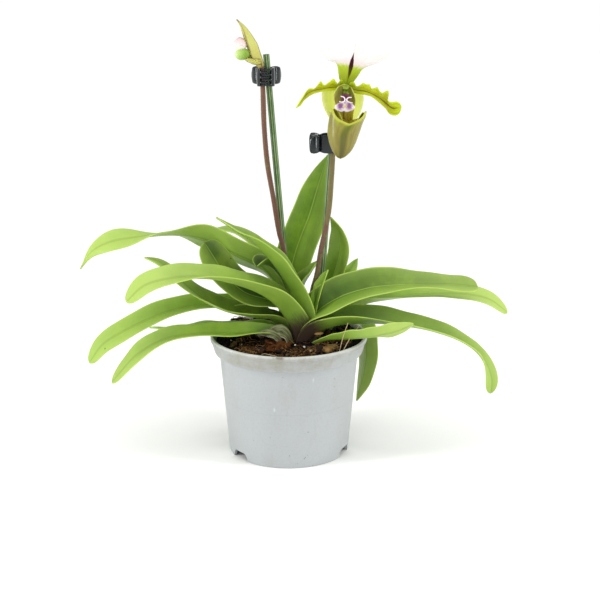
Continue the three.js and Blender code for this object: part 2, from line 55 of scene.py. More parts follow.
def linear(code):
    """An sRGB hex code as Blender's linear red, green, blue and alpha."""
    parts = [int(code[i:i + 2], 16) / 255 for i in (1, 3, 5)]
    return (*(c / 12.92 if c <= 0.04045 else ((c + 0.055) / 1.055) ** 2.4 for c in parts), 1)


def shade(value):
    """Red, green, blue and alpha of an sRGB code, a grey or a colour."""
    if isinstance(value, str):
        return linear(value)
    return (value, value, value, 1) if isinstance(value, (int, float)) else tuple(value)


# ---- sizes and colours that a user would change ----
def mm(label, text, default):
    """A length setting, with its default in millimetres."""
    return FloatProperty(name=label, description=text, default=default * MM, subtype="DISTANCE", unit="LENGTH")


def hue(label, text, code):
    """A colour setting, with its default as an sRGB code."""
    return FloatVectorProperty(name=label, description=text, default=linear(code), size=4, subtype="COLOR",
                               min=0, max=1)


class OrchidPotSettings(bpy.types.PropertyGroup):
    """The nursery pot"""
    height: mm("Height", "Height of the pot", 93)
    rim_radius: mm("Rim radius", "Outer radius at the rim: a 12 cm pot", 60)
    base_radius: mm("Base radius", "Outer radius at the foot", 46.6)
    shoulder_radius: mm("Shoulder radius", "Outer radius just under the collar", 53.6)
    collar_drop: mm("Collar", "Height of the collar under the rim", 13)
    wall: mm("Wall", "Thickness of the moulded wall", 1.4)
    plastic: hue("Plastic", "Pale recycled polypropylene", "#B5B9BB")
    grime: hue("Grime", "Algae and dust dried on the collar", "#8C8870")


class OrchidPlantSettings(bpy.types.PropertyGroup):
    """Leaves and stems"""
    leaf_thickness: mm("Leaf thickness", "At the midrib", 1.5)
    leaf_edge: mm("Leaf edge", "Thickness at the margin", 0.7)
    margin_wave: mm("Margin wave", "How far a leaf's margin swings up and down", 0.9)
    leaf_old: hue("Old leaf", "Upper side of an old leaf", "#2A5407")
    leaf_young: hue("Young leaf", "Upper side of a young leaf", "#7AAE02")
    leaf_tip: hue("Leaf tip", "Upper side near the tip", "#AEC864")
    leaf_back: hue("Leaf back", "Underside", "#9DBB50")
    leaf_base: hue("Leaf base", "Purple stain at the foot", "#3E1A2C")
    stem_radius: mm("Stem radius", "Radius of the flower stems", 1.9)
    stem: hue("Stem", "Hairy purple-brown skin", "#6B4732")


class OrchidFlowerSettings(bpy.types.PropertyGroup):
    """The open flower and the bud"""
    green: hue("Green", "Foot of the dorsal sepal", "#98A604")
    stripe: hue("Stripe", "Midline of the dorsal sepal", "#38060F")
    petal: hue("Petal", "Blade of the petals", "#C4CE0A")
    pale: hue("Pale green", "Joined lower sepals", "#F2FE7A")
    pouch: hue("Pouch", "Belly of the pouch", "#878026")
    pouch_rim: hue("Pouch rim", "Rolled edge of the pouch", "#B4B838")
    mauve: hue("Mauve", "Stain of the shield", "#83527F")


class OrchidHardwareSettings(bpy.types.PropertyGroup):
    """Support sticks and claw clips"""
    stick_radius: mm("Stick radius", "Radius of the support sticks", 2.4)
    stick: hue("Stick", "Green plastic", "#41652F")
    clip: hue("Clip", "Black plastic", "#14181B")


class OrchidMixSettings(bpy.types.PropertyGroup):
    """The potting mix"""
    top: mm("Top", "Mean height of the mix", 84)
    bark_count: IntProperty(name="Bark", description="Bark chips on top", default=210, min=0, max=600)
    fibre_count: IntProperty(name="Fibres", description="Strands of coir on top", default=420, min=0, max=1200)
    crumb_count: IntProperty(name="Crumbs", description="Crumbs of peat on top", default=420, min=0, max=1200)
    perlite_count: IntProperty(name="Perlite", description="Grains of perlite on top", default=22, min=0, max=100)


class OrchidStageSettings(bpy.types.PropertyGroup):
    """Floor, camera and lights"""
    floor: hue("Floor", "Matt white floor", "#FDFDFC")
    room_light: FloatProperty(name="Room light", description="Strength of the white room", default=0.66, min=0)
    key_light: FloatProperty(name="Key light", description="Strength of the soft key", default=1.28, min=0)
    camera_height: mm("Camera height", "Height of the lens over the floor", 383.5)
    camera_distance: mm("Camera distance", "Distance of the lens in front of the pot", 957.2)


SETTINGS = {
    "orchid_pot": OrchidPotSettings,
    "orchid_plant": OrchidPlantSettings,
    "orchid_flower": OrchidFlowerSettings,
    "orchid_hardware": OrchidHardwareSettings,
    "orchid_mix": OrchidMixSettings,
    "orchid_stage": OrchidStageSettings,
}


# ---- modelling ----
def select_only(*pieces):
    bpy.ops.object.select_all(action="DESELECT")
    for piece in pieces:
        piece.select_set(True)
    bpy.context.view_layer.objects.active = pieces[0]


def start(name):
    """Names the primitive that was just added."""
    piece = bpy.context.object
    piece.name = name
    piece.data.name = name
    return piece


def modify(piece, kind, **settings):
    """Adds a modifier to a piece and applies it."""
    modifier = piece.modifiers.new(kind, kind)
    for name, value in settings.items():
        setattr(modifier, name, value)
    select_only(piece)
    bpy.ops.object.modifier_apply(modifier=modifier.name)
    return piece


def close_up(piece):
    """Merges a piece's seams and poles, caps its open ends and turns its faces outwards."""
    select_only(piece)
    bpy.ops.object.mode_set(mode="EDIT")
    bpy.ops.mesh.select_all(action="SELECT")
    bpy.ops.mesh.remove_doubles(threshold=2e-6)
    bpy.ops.mesh.fill_holes(sides=0)
    bpy.ops.mesh.normals_make_consistent(inside=False)
    bpy.ops.object.mode_set(mode="OBJECT")
    return piece


def subdivide(piece):
    return smooth(modify(piece, "SUBSURF", levels=1, render_levels=1))


def smooth(piece, angle=None):
    select_only(piece)
    if angle is None:
        bpy.ops.object.shade_smooth()
    else:
        bpy.ops.object.shade_smooth_by_angle(angle=radians(angle))
    return piece


def tint(piece, attribute, values):
    """Gives the corners of a piece an attribute that its material reads: a value for each, or one for all."""
    if not isinstance(values, list):
        values = [values] * len(piece.data.vertices)
    piece.data.attributes.new(attribute, "FLOAT", "POINT").data.foreach_set("value", values)
    return piece


def sheet(name, columns, rows, place, **fields):
    """A grid carried to place(u, v), in millimetres; u runs across and v along, from 0 to 1. Each
    field is a function of (u, v) whose values a material reads back by the field's name."""
    bpy.ops.mesh.primitive_grid_add(x_subdivisions=columns, y_subdivisions=rows, size=2)
    piece = start(name)
    chart = [((vertex.co.x + 1) / 2, (vertex.co.y + 1) / 2) for vertex in piece.data.vertices]
    for vertex, (u, v) in zip(piece.data.vertices, chart):
        vertex.co = place(u, v) * MM
    for field, value in fields.items():
        tint(piece, field, [value(u, v) for u, v in chart])
    return piece


def thicken(piece, thickness, edge, columns, weight):
    """Gives a sheet its flesh: full thickness where weight(u, v) is 1, and edge where it is 0."""
    rows = len(piece.data.vertices) // (columns + 1) - 1
    flesh = piece.vertex_groups.new(name="flesh")
    for i in range(len(piece.data.vertices)):
        flesh.add([i], weight(i % (columns + 1) / columns, i // (columns + 1) / rows), "REPLACE")
    modify(piece, "SOLIDIFY", thickness=thickness, offset=0, vertex_group="flesh",
           thickness_vertex_group=edge / thickness, material_offset=1, use_quality_normals=True)
    piece.vertex_groups.clear()
    return subdivide(piece)


def ball(name, segments, rings, place):
    """A ball primitive carried to place(direction), in millimetres, where direction is a unit vector."""
    bpy.ops.mesh.primitive_uv_sphere_add(segments=segments, ring_count=rings, radius=1)
    piece = start(name)
    for vertex in piece.data.vertices:
        vertex.co = place(vertex.co.normalized()) * MM
    return smooth(piece)


def join(name, *pieces):
    select_only(*pieces)
    bpy.ops.object.join()
    return start(name)


def seat(piece, finish, slot, *nodes, body="root"):
    """Gives a piece its material, or its two, and hands it to the frame with the nodes that it stands for."""
    piece.data.materials.clear()
    for material in finish if isinstance(finish, tuple) else [finish]:
        piece.data.materials.append(material)
    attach(piece, body)
    if nodes:
        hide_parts(*nodes)
    return piece


def ease(low, high, x):
    x = min(1, max(0, (x - low) / (high - low)))
    return x * x * (3 - 2 * x)


def ramp(values, t):
    """Value at t of evenly spaced values, eased between them."""
    place = min(1, max(0, t)) * (len(values) - 1)
    i = min(len(values) - 2, int(place))
    share = ease(0, 1, place - i)
    return values[i] + (values[i + 1] - values[i]) * share


def bump(x, width):
    return exp(-((x / width) ** 2))


class Spine:
    """A smooth curve through chosen points, read by its length from 0 to 1, or by its points."""
    STEPS = 16

    def __init__(self, points, by_length=True):
        corners = [Vector(p) for p in points]
        corners = [2 * corners[0] - corners[1], *corners, 2 * corners[-1] - corners[-2]]
        self.trace = []
        for four in zip(corners, corners[1:], corners[2:], corners[3:]):
            self.trace += [self.between(*four, k / self.STEPS) for k in range(self.STEPS)]
        self.trace.append(corners[-2])
        steps = [(b - a).length if by_length else 1 for a, b in zip(self.trace, self.trace[1:])]
        self.reach = [sum(steps[:i]) for i in range(len(steps) + 1)]
        self.length = sum((b - a).length for a, b in zip(self.trace, self.trace[1:]))

    @staticmethod
    def between(a, b, c, d, t):
        before, span, after = ((q - p).length ** 0.5 or 1 for p, q in ((a, b), (b, c), (c, d)))
        leave = ((b - a) / before - (c - a) / (before + span) + (c - b) / span) * span
        arrive = ((c - b) / span - (d - b) / (span + after) + (d - c) / after) * span
        square = -3 * b + 3 * c - 2 * leave - arrive
        cube = 2 * b - 2 * c + leave + arrive
        return b + leave * t + square * t * t + cube * t ** 3

    def at(self, t):
        want = min(1, max(0, t)) * self.reach[-1]
        low, high = 0, len(self.reach) - 1
        while high - low > 1:
            middle = (low + high) // 2
            low, high = (middle, high) if self.reach[middle] <= want else (low, middle)
        share = (want - self.reach[low]) / ((self.reach[high] - self.reach[low]) or 1)
        return self.trace[low].lerp(self.trace[high], share)

    def heading(self, t):
        return (self.at(min(1, t + 0.01)) - self.at(max(0, t - 0.01))).normalized()

    def axes(self, t, reference):
        """Direction along the curve, and two across it, the first as near to reference as it can be."""
        along = self.heading(t)
        side = (reference - along * along.dot(reference)).normalized()
        return along, side, along.cross(side)


def tube(name, path, radius, sides=20, rows=60, reference=(1, 0, 0), fields={}):
    """A closed tube along a path, rounded off at its ends; radius is a number or a function of (angle,
    share of the length). The rows crowd towards the ends."""
    spine = Spine(path)
    size = radius if callable(radius) else lambda angle, t: radius

    def place(u, v):
        t = (1 - cos(pi * v)) / 2
        _, side, up = spine.axes(t, Vector(reference))
        angle = u * tau
        return spine.at(t) + (side * cos(angle) + up * sin(angle)) * size(angle, t)

    return smooth(close_up(sheet(name, sides, rows, place, **fields)), 50)


# ---- blades: leaves, sepals, petals and bracts ----
# Thickness in the middle and at the edge.
SCALE_FLESH = 0.8 * MM, 0.4 * MM
BRACT_FLESH = 0.9 * MM, 0.4 * MM
PETAL_FLESH = 1 * MM, 0.5 * MM


def blade_outline(shape, t):
    neck, belly = shape.get("neck", 0.5), shape.get("belly", 0.4)
    shoulder, tip = shape.get("shoulder", 0.6), shape.get("tip", 0.75)
    share = ramp(shape["shares"], t) if "shares" in shape else neck + (1 - neck) * ease(0, belly, t)
    past = max(0, (t - shoulder) / (1 - shoulder))
    return share * max(0.03, (1 - past ** 2) ** tip)


def blade(name, shape, thickness, edge, columns=16, rows=46, margin=None, droop=0.08):
    """A folded strip swept along its midrib, thickest there. margin(x, t) gives a corner's push
    outwards and upwards, in millimetres, where x runs from -1 to 1 across and t along."""
    spine = Spine(shape["path"])
    heading = radians(shape["heading"])
    level = Vector((-sin(heading), cos(heading), 0))

    def place(u, v):
        x, t = 1 - 2 * u, 1 - (1 - v) ** 1.25
        along, side, up = spine.axes(t, level)
        turn = Quaternion(along, radians(ramp(shape.get("turn", (0, 0)), t)))
        side, up = turn @ side, turn @ up
        half = shape["width"] / 2 * blade_outline(shape, t)
        rise = radians(ramp(shape["fold"], t))
        share = abs(x)
        soft = (hypot(share, 0.12) - 0.12) / (hypot(1, 0.12) - 0.12)
        out, lift = margin(x, t) if margin else (0, 0)
        across = copysign(half * share * cos(rise) + out * share, x)
        above = half * (soft * sin(rise) - droop * share ** 3) + lift
        return spine.at(t) + side * across + up * above

    piece = sheet(name, columns, rows, place)
    return thicken(piece, thickness, edge, columns, lambda u, v: 1 - (2 * u - 1) ** 2)


# ---- materials ----
# Where the word goes that follows a kind of node.
MODES = {"Math": "operation", "MixRGB": "blend_type", "MapRange": "interpolation_type",
         "Attribute": "attribute_name"}


class Surface:
    """A material under construction: a Principled shader and the nodes that feed it. Flesh is the weight,
    scale and colour of the light that scatters inside."""

    def __init__(self, name, flesh=(), **constants):
        self.material = bpy.data.materials.new(name)
        self.material.use_nodes = True
        self.tree = self.material.node_tree
        self.shader = self.tree.nodes["Principled BSDF"]
        constants.update(zip(("Subsurface_Weight", "Subsurface_Scale", "Subsurface_Radius"), flesh))
        for socket, value in constants.items():
            self.feed(self.shader, socket, value)

    def feed(self, node, socket, value):
        socket = node.inputs[socket.replace("_", " ") if isinstance(socket, str) else socket]
        if isinstance(value, bpy.types.Node):
            value = value.outputs[0]
        if isinstance(value, bpy.types.NodeSocket):
            self.tree.links.new(value, socket)
        else:
            socket.default_value = linear(value) if isinstance(value, str) else value

    def add(self, kind, *links, stops=None, **inputs):
        """Adds a node. After its kind comes a dot and the output wanted, or a space and its mode. Links feed
        its first inputs in turn, others go by name, and the stops of a ramp are greys or sRGB codes."""
        kind, _, mode = kind.partition(" ")
        kind, _, output = kind.partition(".")
        node = self.tree.nodes.new("ShaderNode" + kind)
        if mode:
            setattr(node, MODES[kind], mode)
        for socket, value in (*enumerate(links), *inputs.items()):
            self.feed(node, socket, value)
        for i, (position, colour) in enumerate((stops or {}).items()):
            bar = node.color_ramp.elements
            stop = bar[i] if i < 2 else bar.new(position)
            stop.position = position
            stop.color = shade(colour)
        return node.outputs[output] if output else node

    def over(self, colour, tone, *masks):
        """Lays a tone over a colour where all the masks let it; a mask is a share, or a field with the
        stops of the ramp that makes it one."""
        shares = [self.add("ValToRGB", mask[0], stops=mask[1]) if isinstance(mask, tuple) else mask
                  for mask in masks]
        share = shares[0]
        for other in shares[1:]:
            share = self.add("Math MULTIPLY", share, other)
        return self.add("MixRGB", share, colour, tone)

    def stir(self, field, grain, amount):
        """A field pushed to and fro by a noise."""
        return self.add("Math MULTIPLY_ADD", self.add("Math SUBTRACT", grain, 0.5), amount, field)

    def away(self, field, middle=0.5):
        """Distance of a field from its middle."""
        return self.add("Math ABSOLUTE", self.add("Math SUBTRACT", field, middle))

    def finish(self, colour, height=None, depth=0.1, **inputs):
        """Feeds the shader; height is a relief, depth millimetres deep."""
        if height:
            inputs["Normal"] = self.add("Bump", Distance=depth * MM, Height=height)
        for name, value in {"Base_Color": colour, **inputs}.items():
            self.feed(self.shader, name, value)
        return self.material


def tissue(s, stops, vein, veins=22, wander=0.12, strength=0.45):
    """Colour of living tissue on surface s: stops along its length, crossed out of line by the veins
    that run the same way. Returns the colour, the vein noise, and the places across and along."""
    place = s.add("TexCoord.UV")
    x, y, _ = s.add("SeparateXYZ", place).outputs
    grain = s.add("TexNoise", s.add("Mapping", place, Scale=(veins, 1.4, 1)), Scale=1, Detail=4, Roughness=0.6)
    along = s.add("ValToRGB", s.stir(y, grain, wander * 2), stops=stops)
    return s.over(along, vein, (grain, {0.4: strength, 0.58: 0})), grain, x, y


def edge_light(s, colour, x, tone, start):
    """A paler margin, where the tissue is thin enough to let light through."""
    return s.over(colour, tone, (s.away(x), {start: 0, 0.495: 1}))


def speckled(name, scale, depth, stops, detail=3, roughness=0.45):
    """Fine-grained tissue, grown: one noise gives it its colour and its relief."""
    s = Surface(name, Roughness=roughness)
    grain = s.add("TexNoise", s.add("TexCoord.Object"), Scale=scale, Detail=detail)
    return s.finish(s.add("ValToRGB", grain, stops=stops), grain, depth)


def leaf_skin(plant, upper):
    """Living leaf under wax, grown: satin, with veins drawn 1 mm apart, a pale margin and midrib, and
    a foot stained purple in fine freckles."""
    s = Surface("leaf_upper_cuticle" if upper else "leaf_under_cuticle", (0.1, 0.002, (0.6, 1, 0.15)), IOR=1.45,
                Specular_IOR_Level=0.3 if upper else 0.2)
    chart, place = s.add("TexCoord.UV"), s.add("TexCoord.Object")
    x, y, _ = s.add("SeparateXYZ", chart).outputs
    tone, stain, near, pale = (s.add("Attribute.Fac " + name) for name in ("tone", "stain", "near", "pale"))
    share = s.away(x)
    streaks = s.add("TexNoise", s.add("Mapping", chart, Scale=(26, 1.2, 1)), Scale=1, Detail=3, Roughness=0.6)
    cloud = s.add("TexNoise", place, Scale=28, Detail=4, Roughness=0.6)
    cells = s.add("TexNoise", place, Scale=900)
    old, young = (plant.leaf_old, plant.leaf_young) if upper else ("#6F9034", plant.leaf_back)
    # Darker clouds, yellower patches, and darker lines between the veins.
    drift = s.add("ValToRGB", cloud, stops={0.36: 0.5, 0.62: 1})
    skin = s.add("MixRGB MULTIPLY", 0.75, s.add("MixRGB", tone, old, young), drift)
    skin = s.over(skin, "#9DB82A", (cloud, {0.5: 0, 0.72: 0.4}))
    skin = s.add("MixRGB MULTIPLY", 0.32, skin, s.add("ValToRGB", streaks, stops={0.36: 0.6, 0.56: 1}))
    # The half nearer the viewer is painted paler: painted light, where it hangs in the light and light shines
    # through it. Both margins are paler too.
    skin = s.over(skin, "#86A838" if upper else "#97B252", (s.away(x, near), {0: 0.56, 0.42: 0.38, 0.51: 0}))
    skin = s.over(skin, plant.leaf_tip, s.add("MapRange", share, 0.2, 0.5, 0, 0.22))
    skin = s.over(skin, "#84A04A", s.add("MapRange", y, 0.03, 0.24, 0.4, 0))
    to_tip = s.add("MapRange", s.add("Math MULTIPLY_ADD", cloud, 0.3, y), 0.25, 0.95)
    skin = s.over(skin, plant.leaf_tip, to_tip, pale)
    # The midrib is a pale line. Above, it lies in a band painted darker, as painted shade in its channel; below, a
    # pale keel lies in a darker band.
    skin = s.over(skin, "#2C5009" if upper else "#7E9C3A", (share, {0.012: 0.3, 0.09: 0}))
    skin = s.over(skin, "#A6C254", (share, {0.008: 0.6, 0.02: 0}))
    skin = s.over(skin, "#B6D062", (share, {0.455: 0, 0.494: 0.8}))
    # Purple freckles run together into a stain at the foot of the leaf.
    freckles = s.add("TexNoise", s.add("Mapping", chart, Scale=(70, 30, 1)), Scale=1, Detail=5, Roughness=0.75)
    foot = s.add("MapRange", y, 0.02, 0.17, 0.95, 0)
    skin = s.over(skin, plant.leaf_base, (s.add("Math MULTIPLY_ADD", foot, stain, freckles), {0.66: 0, 1: 0.9}))
    # A brown speck here and there.
    dots = s.add("TexVoronoi", place, Scale=70)
    skin = s.over(skin, "#2E2A10", (dots, {0.03: 0.85, 0.06: 0}), (cloud, {0.56: 0, 0.6: 1}))
    gloss = s.add("MapRange", cells, 0, 1, *((0.34, 0.52) if upper else (0.5, 0.66)))
    return s.finish(skin, s.add("Math MULTIPLY_ADD", cells, 0.25, streaks), 0.16, Roughness=gloss)


def pot_plastic(pot):
    """Injection-moulded polypropylene, used more than once: matt, faintly clouded, scuffed, rubbed pale at the lip
    and painted paler there as a highlight, with dust and algae dried on the collar, and a line of painted shade
    half way up."""
    s = Surface("pot_recycled_polypropylene", IOR=1.49, Specular_IOR_Level=0.4)
    place = s.add("TexCoord.Object")
    height = s.add("SeparateXYZ.Z", place)
    cloud = s.add("TexNoise", place, Scale=14, Detail=5, Roughness=0.6)
    grain = s.add("TexNoise", place, Scale=620, Detail=3, Roughness=0.8)
    skin = s.add("MixRGB MULTIPLY", 0.3, pot.plastic, s.add("ValToRGB", cloud, stops={0.3: 0.72, 0.7: 1}))
    skin = s.add("MixRGB MULTIPLY", 0.3, skin, s.add("ValToRGB", grain, stops={0.36: 0.8, 0.52: 1}))
    # Faint smears of dust, run down at a slant.
    falls = s.add("Mapping", place, Scale=(1, 1, 0.4), Rotation=(0.3, 0.35, 0))
    wash = s.add("TexNoise", falls, Scale=60, Detail=6, Roughness=0.75)
    skin = s.over(skin, "#A3A091", (wash, {0.56: 0, 0.78: 0.4}))
    # A broken darker line half way up: painted shade for a faint ridge in the wall, showing only where the dust
    # smears are. Also specks of soil, and pale scuffs.
    ridge_shade = s.add("MapRange SMOOTHSTEP", height, 0.0435, 0.0447)
    skin = s.over(skin, "#8F9394", (ridge_shade, {0: 0, 0.5: 0.4, 1: 0}), wash)
    some = s.add("TexNoise", place, Scale=60)
    soil, scuffs = s.add("TexVoronoi", place, Scale=230), s.add("TexVoronoi", falls, Scale=75)
    skin = s.over(skin, "#5F5A4C", (soil, {0.06: 0.75, 0.13: 0}), (some, {0.54: 0, 0.6: 1}))
    skin = s.over(skin, "#F4F5F3", (scuffs, {0.05: 0.5, 0.1: 0}), (some, {0.36: 1, 0.42: 0}))
    # Algae sit on the collar; the lip is rubbed pale and painted paler still as a highlight along its top, except
    # where soil has stuck to it.
    collar = s.add("MapRange SMOOTHSTEP", height, 0.0775, 0.083)
    lip = s.add("MapRange SMOOTHSTEP", height, 0.0905, 0.0922)
    patches = s.add("TexNoise", place, Scale=45, Detail=7, Roughness=0.75)
    skin = s.over(skin, pot.grime, collar, (patches, {0.45: 0.16, 0.7: 0.75}))
    skin = s.over(skin, "#E2E4DC", lip, (patches, {0.4: 0.45, 0.7: 0.15}))
    skin = s.over(skin, "#5B4C34", lip, (patches, {0.6: 0, 0.68: 0.7}))
    relief = s.add("Math MULTIPLY_ADD", wash, 0.5, grain)
    return s.finish(skin, relief, 0.05, Roughness=s.add("MapRange", cloud, 0, 1, 0.34, 0.56))


def crumb(name, low, middle, high, scale, depth, roughness=0.9):
    """Dry plant litter: bark, coir or peat, broken and sieved. The tone of each copy picks its colour."""
    s = Surface(name, Specular_IOR_Level=0.25, Roughness=roughness)
    grain = s.add("TexNoise", s.add("TexCoord.Object"), Scale=scale, Detail=5, Roughness=0.7)
    pick = s.stir(s.add("Attribute.Fac tone"), grain, 0.9)
    return s.finish(s.add("ValToRGB", pick, stops={0: low, 0.55: middle, 1: high}), grain, depth)


def stick_plastic(hardware):
    """Extruded green plastic, ribbed: painted highlights along the ribs and painted shade in the grooves, made
    uneven by a faint cloud.
    """
    s = Surface("stick_extruded_plastic", IOR=1.49)
    cloud = s.add("TexNoise", s.add("TexCoord.Object"), Scale=90, Detail=5)
    # Painted light: pale highlights on the ribs, painted shade in the grooves.
    rib_light_and_shade = s.stir(s.add("Attribute.Fac rib"), cloud, 0.8)
    colour = s.add("ValToRGB", rib_light_and_shade, stops={0.02: "#22361A", 0.35: hardware.stick, 0.75: "#5E7E3E", 1: "#93AA78"})
    return s.finish(colour, cloud, 0.05, Roughness=s.add("MapRange", cloud, 0, 1, 0.3, 0.5))


def stem_skin(plant):
    """Living flower stem, grown: dull purple-brown skin with green showing through in specks."""
    s = Surface("stem_downy_skin", Sheen_Weight=0.2, Sheen_Roughness=0.5, Roughness=0.65)
    place = s.add("TexCoord.Object")
    specks = s.add("TexNoise", s.add("Mapping", place, Scale=(1, 1, 0.35)), Scale=900, Detail=3)
    mixed = s.add("Math ADD", specks, s.add("TexNoise", place, Scale=26))
    shifted = s.add("Math ADD", mixed, s.add("Attribute.Fac green"))
    skin = s.over(plant.stem, "#6E6832", (shifted, {0.95: 0, 1: 0.8}))
    low = s.add("MapRange", s.add("SeparateXYZ.Z", place), 0.1, 0.19, 0.55, 0)
    return s.finish(s.over(skin, "#33201D", low), specks, 0.15)


def down():
    """The short white-brown hairs on stems, ovaries and buds."""
    s = Surface("stem_hairs", Roughness=0.6)
    return s.finish(s.add("ValToRGB", s.add("Attribute.Fac tone"), stops={0: "#7A5548", 1: "#B79C86"}))


def sepal_skin(flower, upper):
    """Dorsal sepal, grown: crystalline white over a lime foot, with a dark purple stripe in front."""
    s = Surface("dorsal_sepal_front" if upper else "dorsal_sepal_back", (0.05, 0.0015, (1, 1, 0.7)),
                Specular_IOR_Level=0.15)
    skin, grain, _, y = tissue(s, {0: "#92AA08", 0.35: flower.green, 0.56: "#A9C010", 0.62: "#D3D88A",
                                   0.68: "#EDE4DF", 0.8: "#EDE8EA", 1: "#EFEDE6"}, "#C6CB96", 40, 0.15, 0.13)
    middle = s.add("Attribute.Fac middle")
    # A pink blush either side of the stripe, above the green.
    skin = s.over(skin, "#EFD3DB", s.add("MapRange", middle, 0, 12, 1, 0), (y, {0.6: 0, 0.7: 0.6, 0.95: 0}))
    # The stripe swells in the middle and tapers to both ends; where the ramp is 1 it reaches 1.75 mm to each side.
    width = s.add("ValToRGB", y, stops={0.04: 0.1, 0.3: 0.36, 0.6: 1, 0.78: 0.8, 0.91: 0})
    ragged = s.add("Math MULTIPLY_ADD", grain, 0.3, middle)
    lead = s.add("Math SUBTRACT", s.add("Math MULTIPLY", width, 1.75), ragged)
    tone = s.add("ValToRGB", y, stops={0.2: "#7C8A12", 0.42: "#44420C", 0.6: flower.stripe})
    skin = s.over(skin, tone, s.add("MapRange", lead, -0.15, 0.3, 0, 1 if upper else 0.4))
    return s.finish(skin, grain, Roughness=0.5)


def petal_skin(flower):
    """Petal, grown: thin yellow-green tissue with a brown midline, low on the blade, and a lime margin."""
    s = Surface("petal_tissue", (0.12, 0.0015, (0.9, 1, 0.2)), Roughness=0.45, Specular_IOR_Level=0.2)
    skin, grain, x, y = tissue(s, {0: "#98A808", 0.3: flower.petal, 0.75: "#A6AC0A", 0.93: "#C0D01E"},
                               "#6F6A1C", 9, 0.1, 0.35)
    ragged = s.add("Math MULTIPLY_ADD", grain, 0.08, s.away(x))
    skin = s.over(skin, "#564410", (ragged, {0.04: 0.95, 0.13: 0.3, 0.34: 0}),
                  (y, {0: 0.5, 0.2: 1, 0.86: 1, 0.96: 0}))
    return s.finish(s.over(skin, "#C4D82C", (x, {0: 0.5, 0.08: 0, 0.8: 0, 0.98: 0.9})), grain, 0.15)


def pouch_skin(flower, inside):
    """The slipper, grown: waxy and glossy outside, lime at the rim and brown lower down; spotted inside."""
    s = Surface("pouch_inside" if inside else "pouch_outside", (0.06, 0.0015, (0.9, 0.9, 0.2)),
                Specular_IOR_Level=0.25, Coat_Weight=0 if inside else 0.5, Coat_Roughness=0.22)
    chart, lift = s.add("TexCoord.UV"), s.add("Attribute.Fac lift")
    veins = s.add("TexNoise", s.add("Mapping", chart, Scale=(36, 3.5, 1)), Scale=1, Detail=5, Roughness=0.65)
    if inside:
        skin = s.add("ValToRGB", s.stir(lift, veins, 0.3), stops={0.3: "#B09C38", 0.8: "#BEB044", 1: "#CCCA44"})
        spots = s.add("TexVoronoi", s.add("TexCoord.Object"), Scale=620)
        skin = s.over(skin, "#3E2410", (spots, {0.2: 0.45, 0.42: 0}), (veins, {0.42: 0, 0.55: 1}))
        return s.finish(skin, veins, Roughness=0.5)
    skin = s.add("ValToRGB", s.stir(lift, veins, 0.14), stops={0: "#5C5A02", 0.16: "#706A0C", 0.4: flower.pouch,
                                                             0.8: "#8E8A34", 0.92: "#969C2A", 1: "#A2AA24"})
    # A dark olive band runs down the middle of the front, and the sides are finely veined.
    olive = s.add("ValToRGB", lift, stops={0.2: "#4C4A02", 0.9: "#5E7008"})
    skin = s.over(skin, olive, (s.add("Attribute.Fac front"), {0.15: 0, 0.75: 0.95}),
                  (lift, {0: 0.5, 0.25: 1, 0.94: 0.9, 1: 0.3}))
    skin = s.over(skin, "#6E552A", (veins, {0.38: 0.5, 0.56: 0}))
    y = s.add("SeparateXYZ.Y", chart)
    skin = s.over(skin, flower.pouch_rim, (y, {0.73: 0, 0.785: 0.95}))
    return s.finish(s.over(skin, "#86771C", (y, {0.86: 0, 0.89: 1})), veins, 0.06, Roughness=0.45)


def shield_skin(flower):
    """The shield over the column, grown: white and satin, stained mauve, with a yellow boss."""
    s = Surface("shield_tissue", (0.1, 0.001), Roughness=0.35)
    grain = s.add("TexNoise", s.add("TexCoord.Object"), Scale=700, Detail=4, Roughness=0.7)
    mottled = s.stir(s.add("Attribute.Fac mauve"), grain, 0.7)
    skin = s.over("#EADDE3", flower.mauve, (mottled, {0.25: 0, 0.85: 1}))
    skin = s.over(skin, "#D2B93C", s.add("Attribute.Fac boss"))
    return s.finish(s.over(skin, "#430D1E", s.add("Attribute.Fac dark")), grain, 0.06)


def clip_plastic(hardware):
    """Injection-moulded polycarbonate: black, polished, with fine scratches from handling."""
    s = Surface("clip_polycarbonate", IOR=1.5, Specular_IOR_Level=0.35, Coat_Weight=0.12, Coat_Roughness=0.06)
    place = s.add("TexCoord.Object")
    stretch = s.add("Mapping", place, Scale=(1, 1, 0.1), Rotation=(0.5, 0.3, 0))
    scratches = s.add("TexNoise", stretch, Scale=1500, Detail=3)
    colour = s.over(hardware.clip, "#20282C", s.add("TexNoise", place, Scale=200))
    return s.finish(colour, scratches, 0.004, Roughness=s.add("ValToRGB", scratches, stops={0.45: 0.09, 0.8: 0.2}))


def spring_steel():
    """Drawn spring wire, bright, with lines along the draw."""
    s = Surface("spring_wire", Metallic=1)
    lines = s.add("TexNoise", s.add("Mapping", s.add("TexCoord.UV"), Scale=(40, 2, 1)), Scale=1, Detail=3)
    colour = s.add("ValToRGB", lines, stops={0.3: "#A7A9AC", 0.7: "#D2D4D6"})
    return s.finish(colour, lines, 0.01, Roughness=s.add("MapRange", lines, 0, 1, 0.2, 0.42))


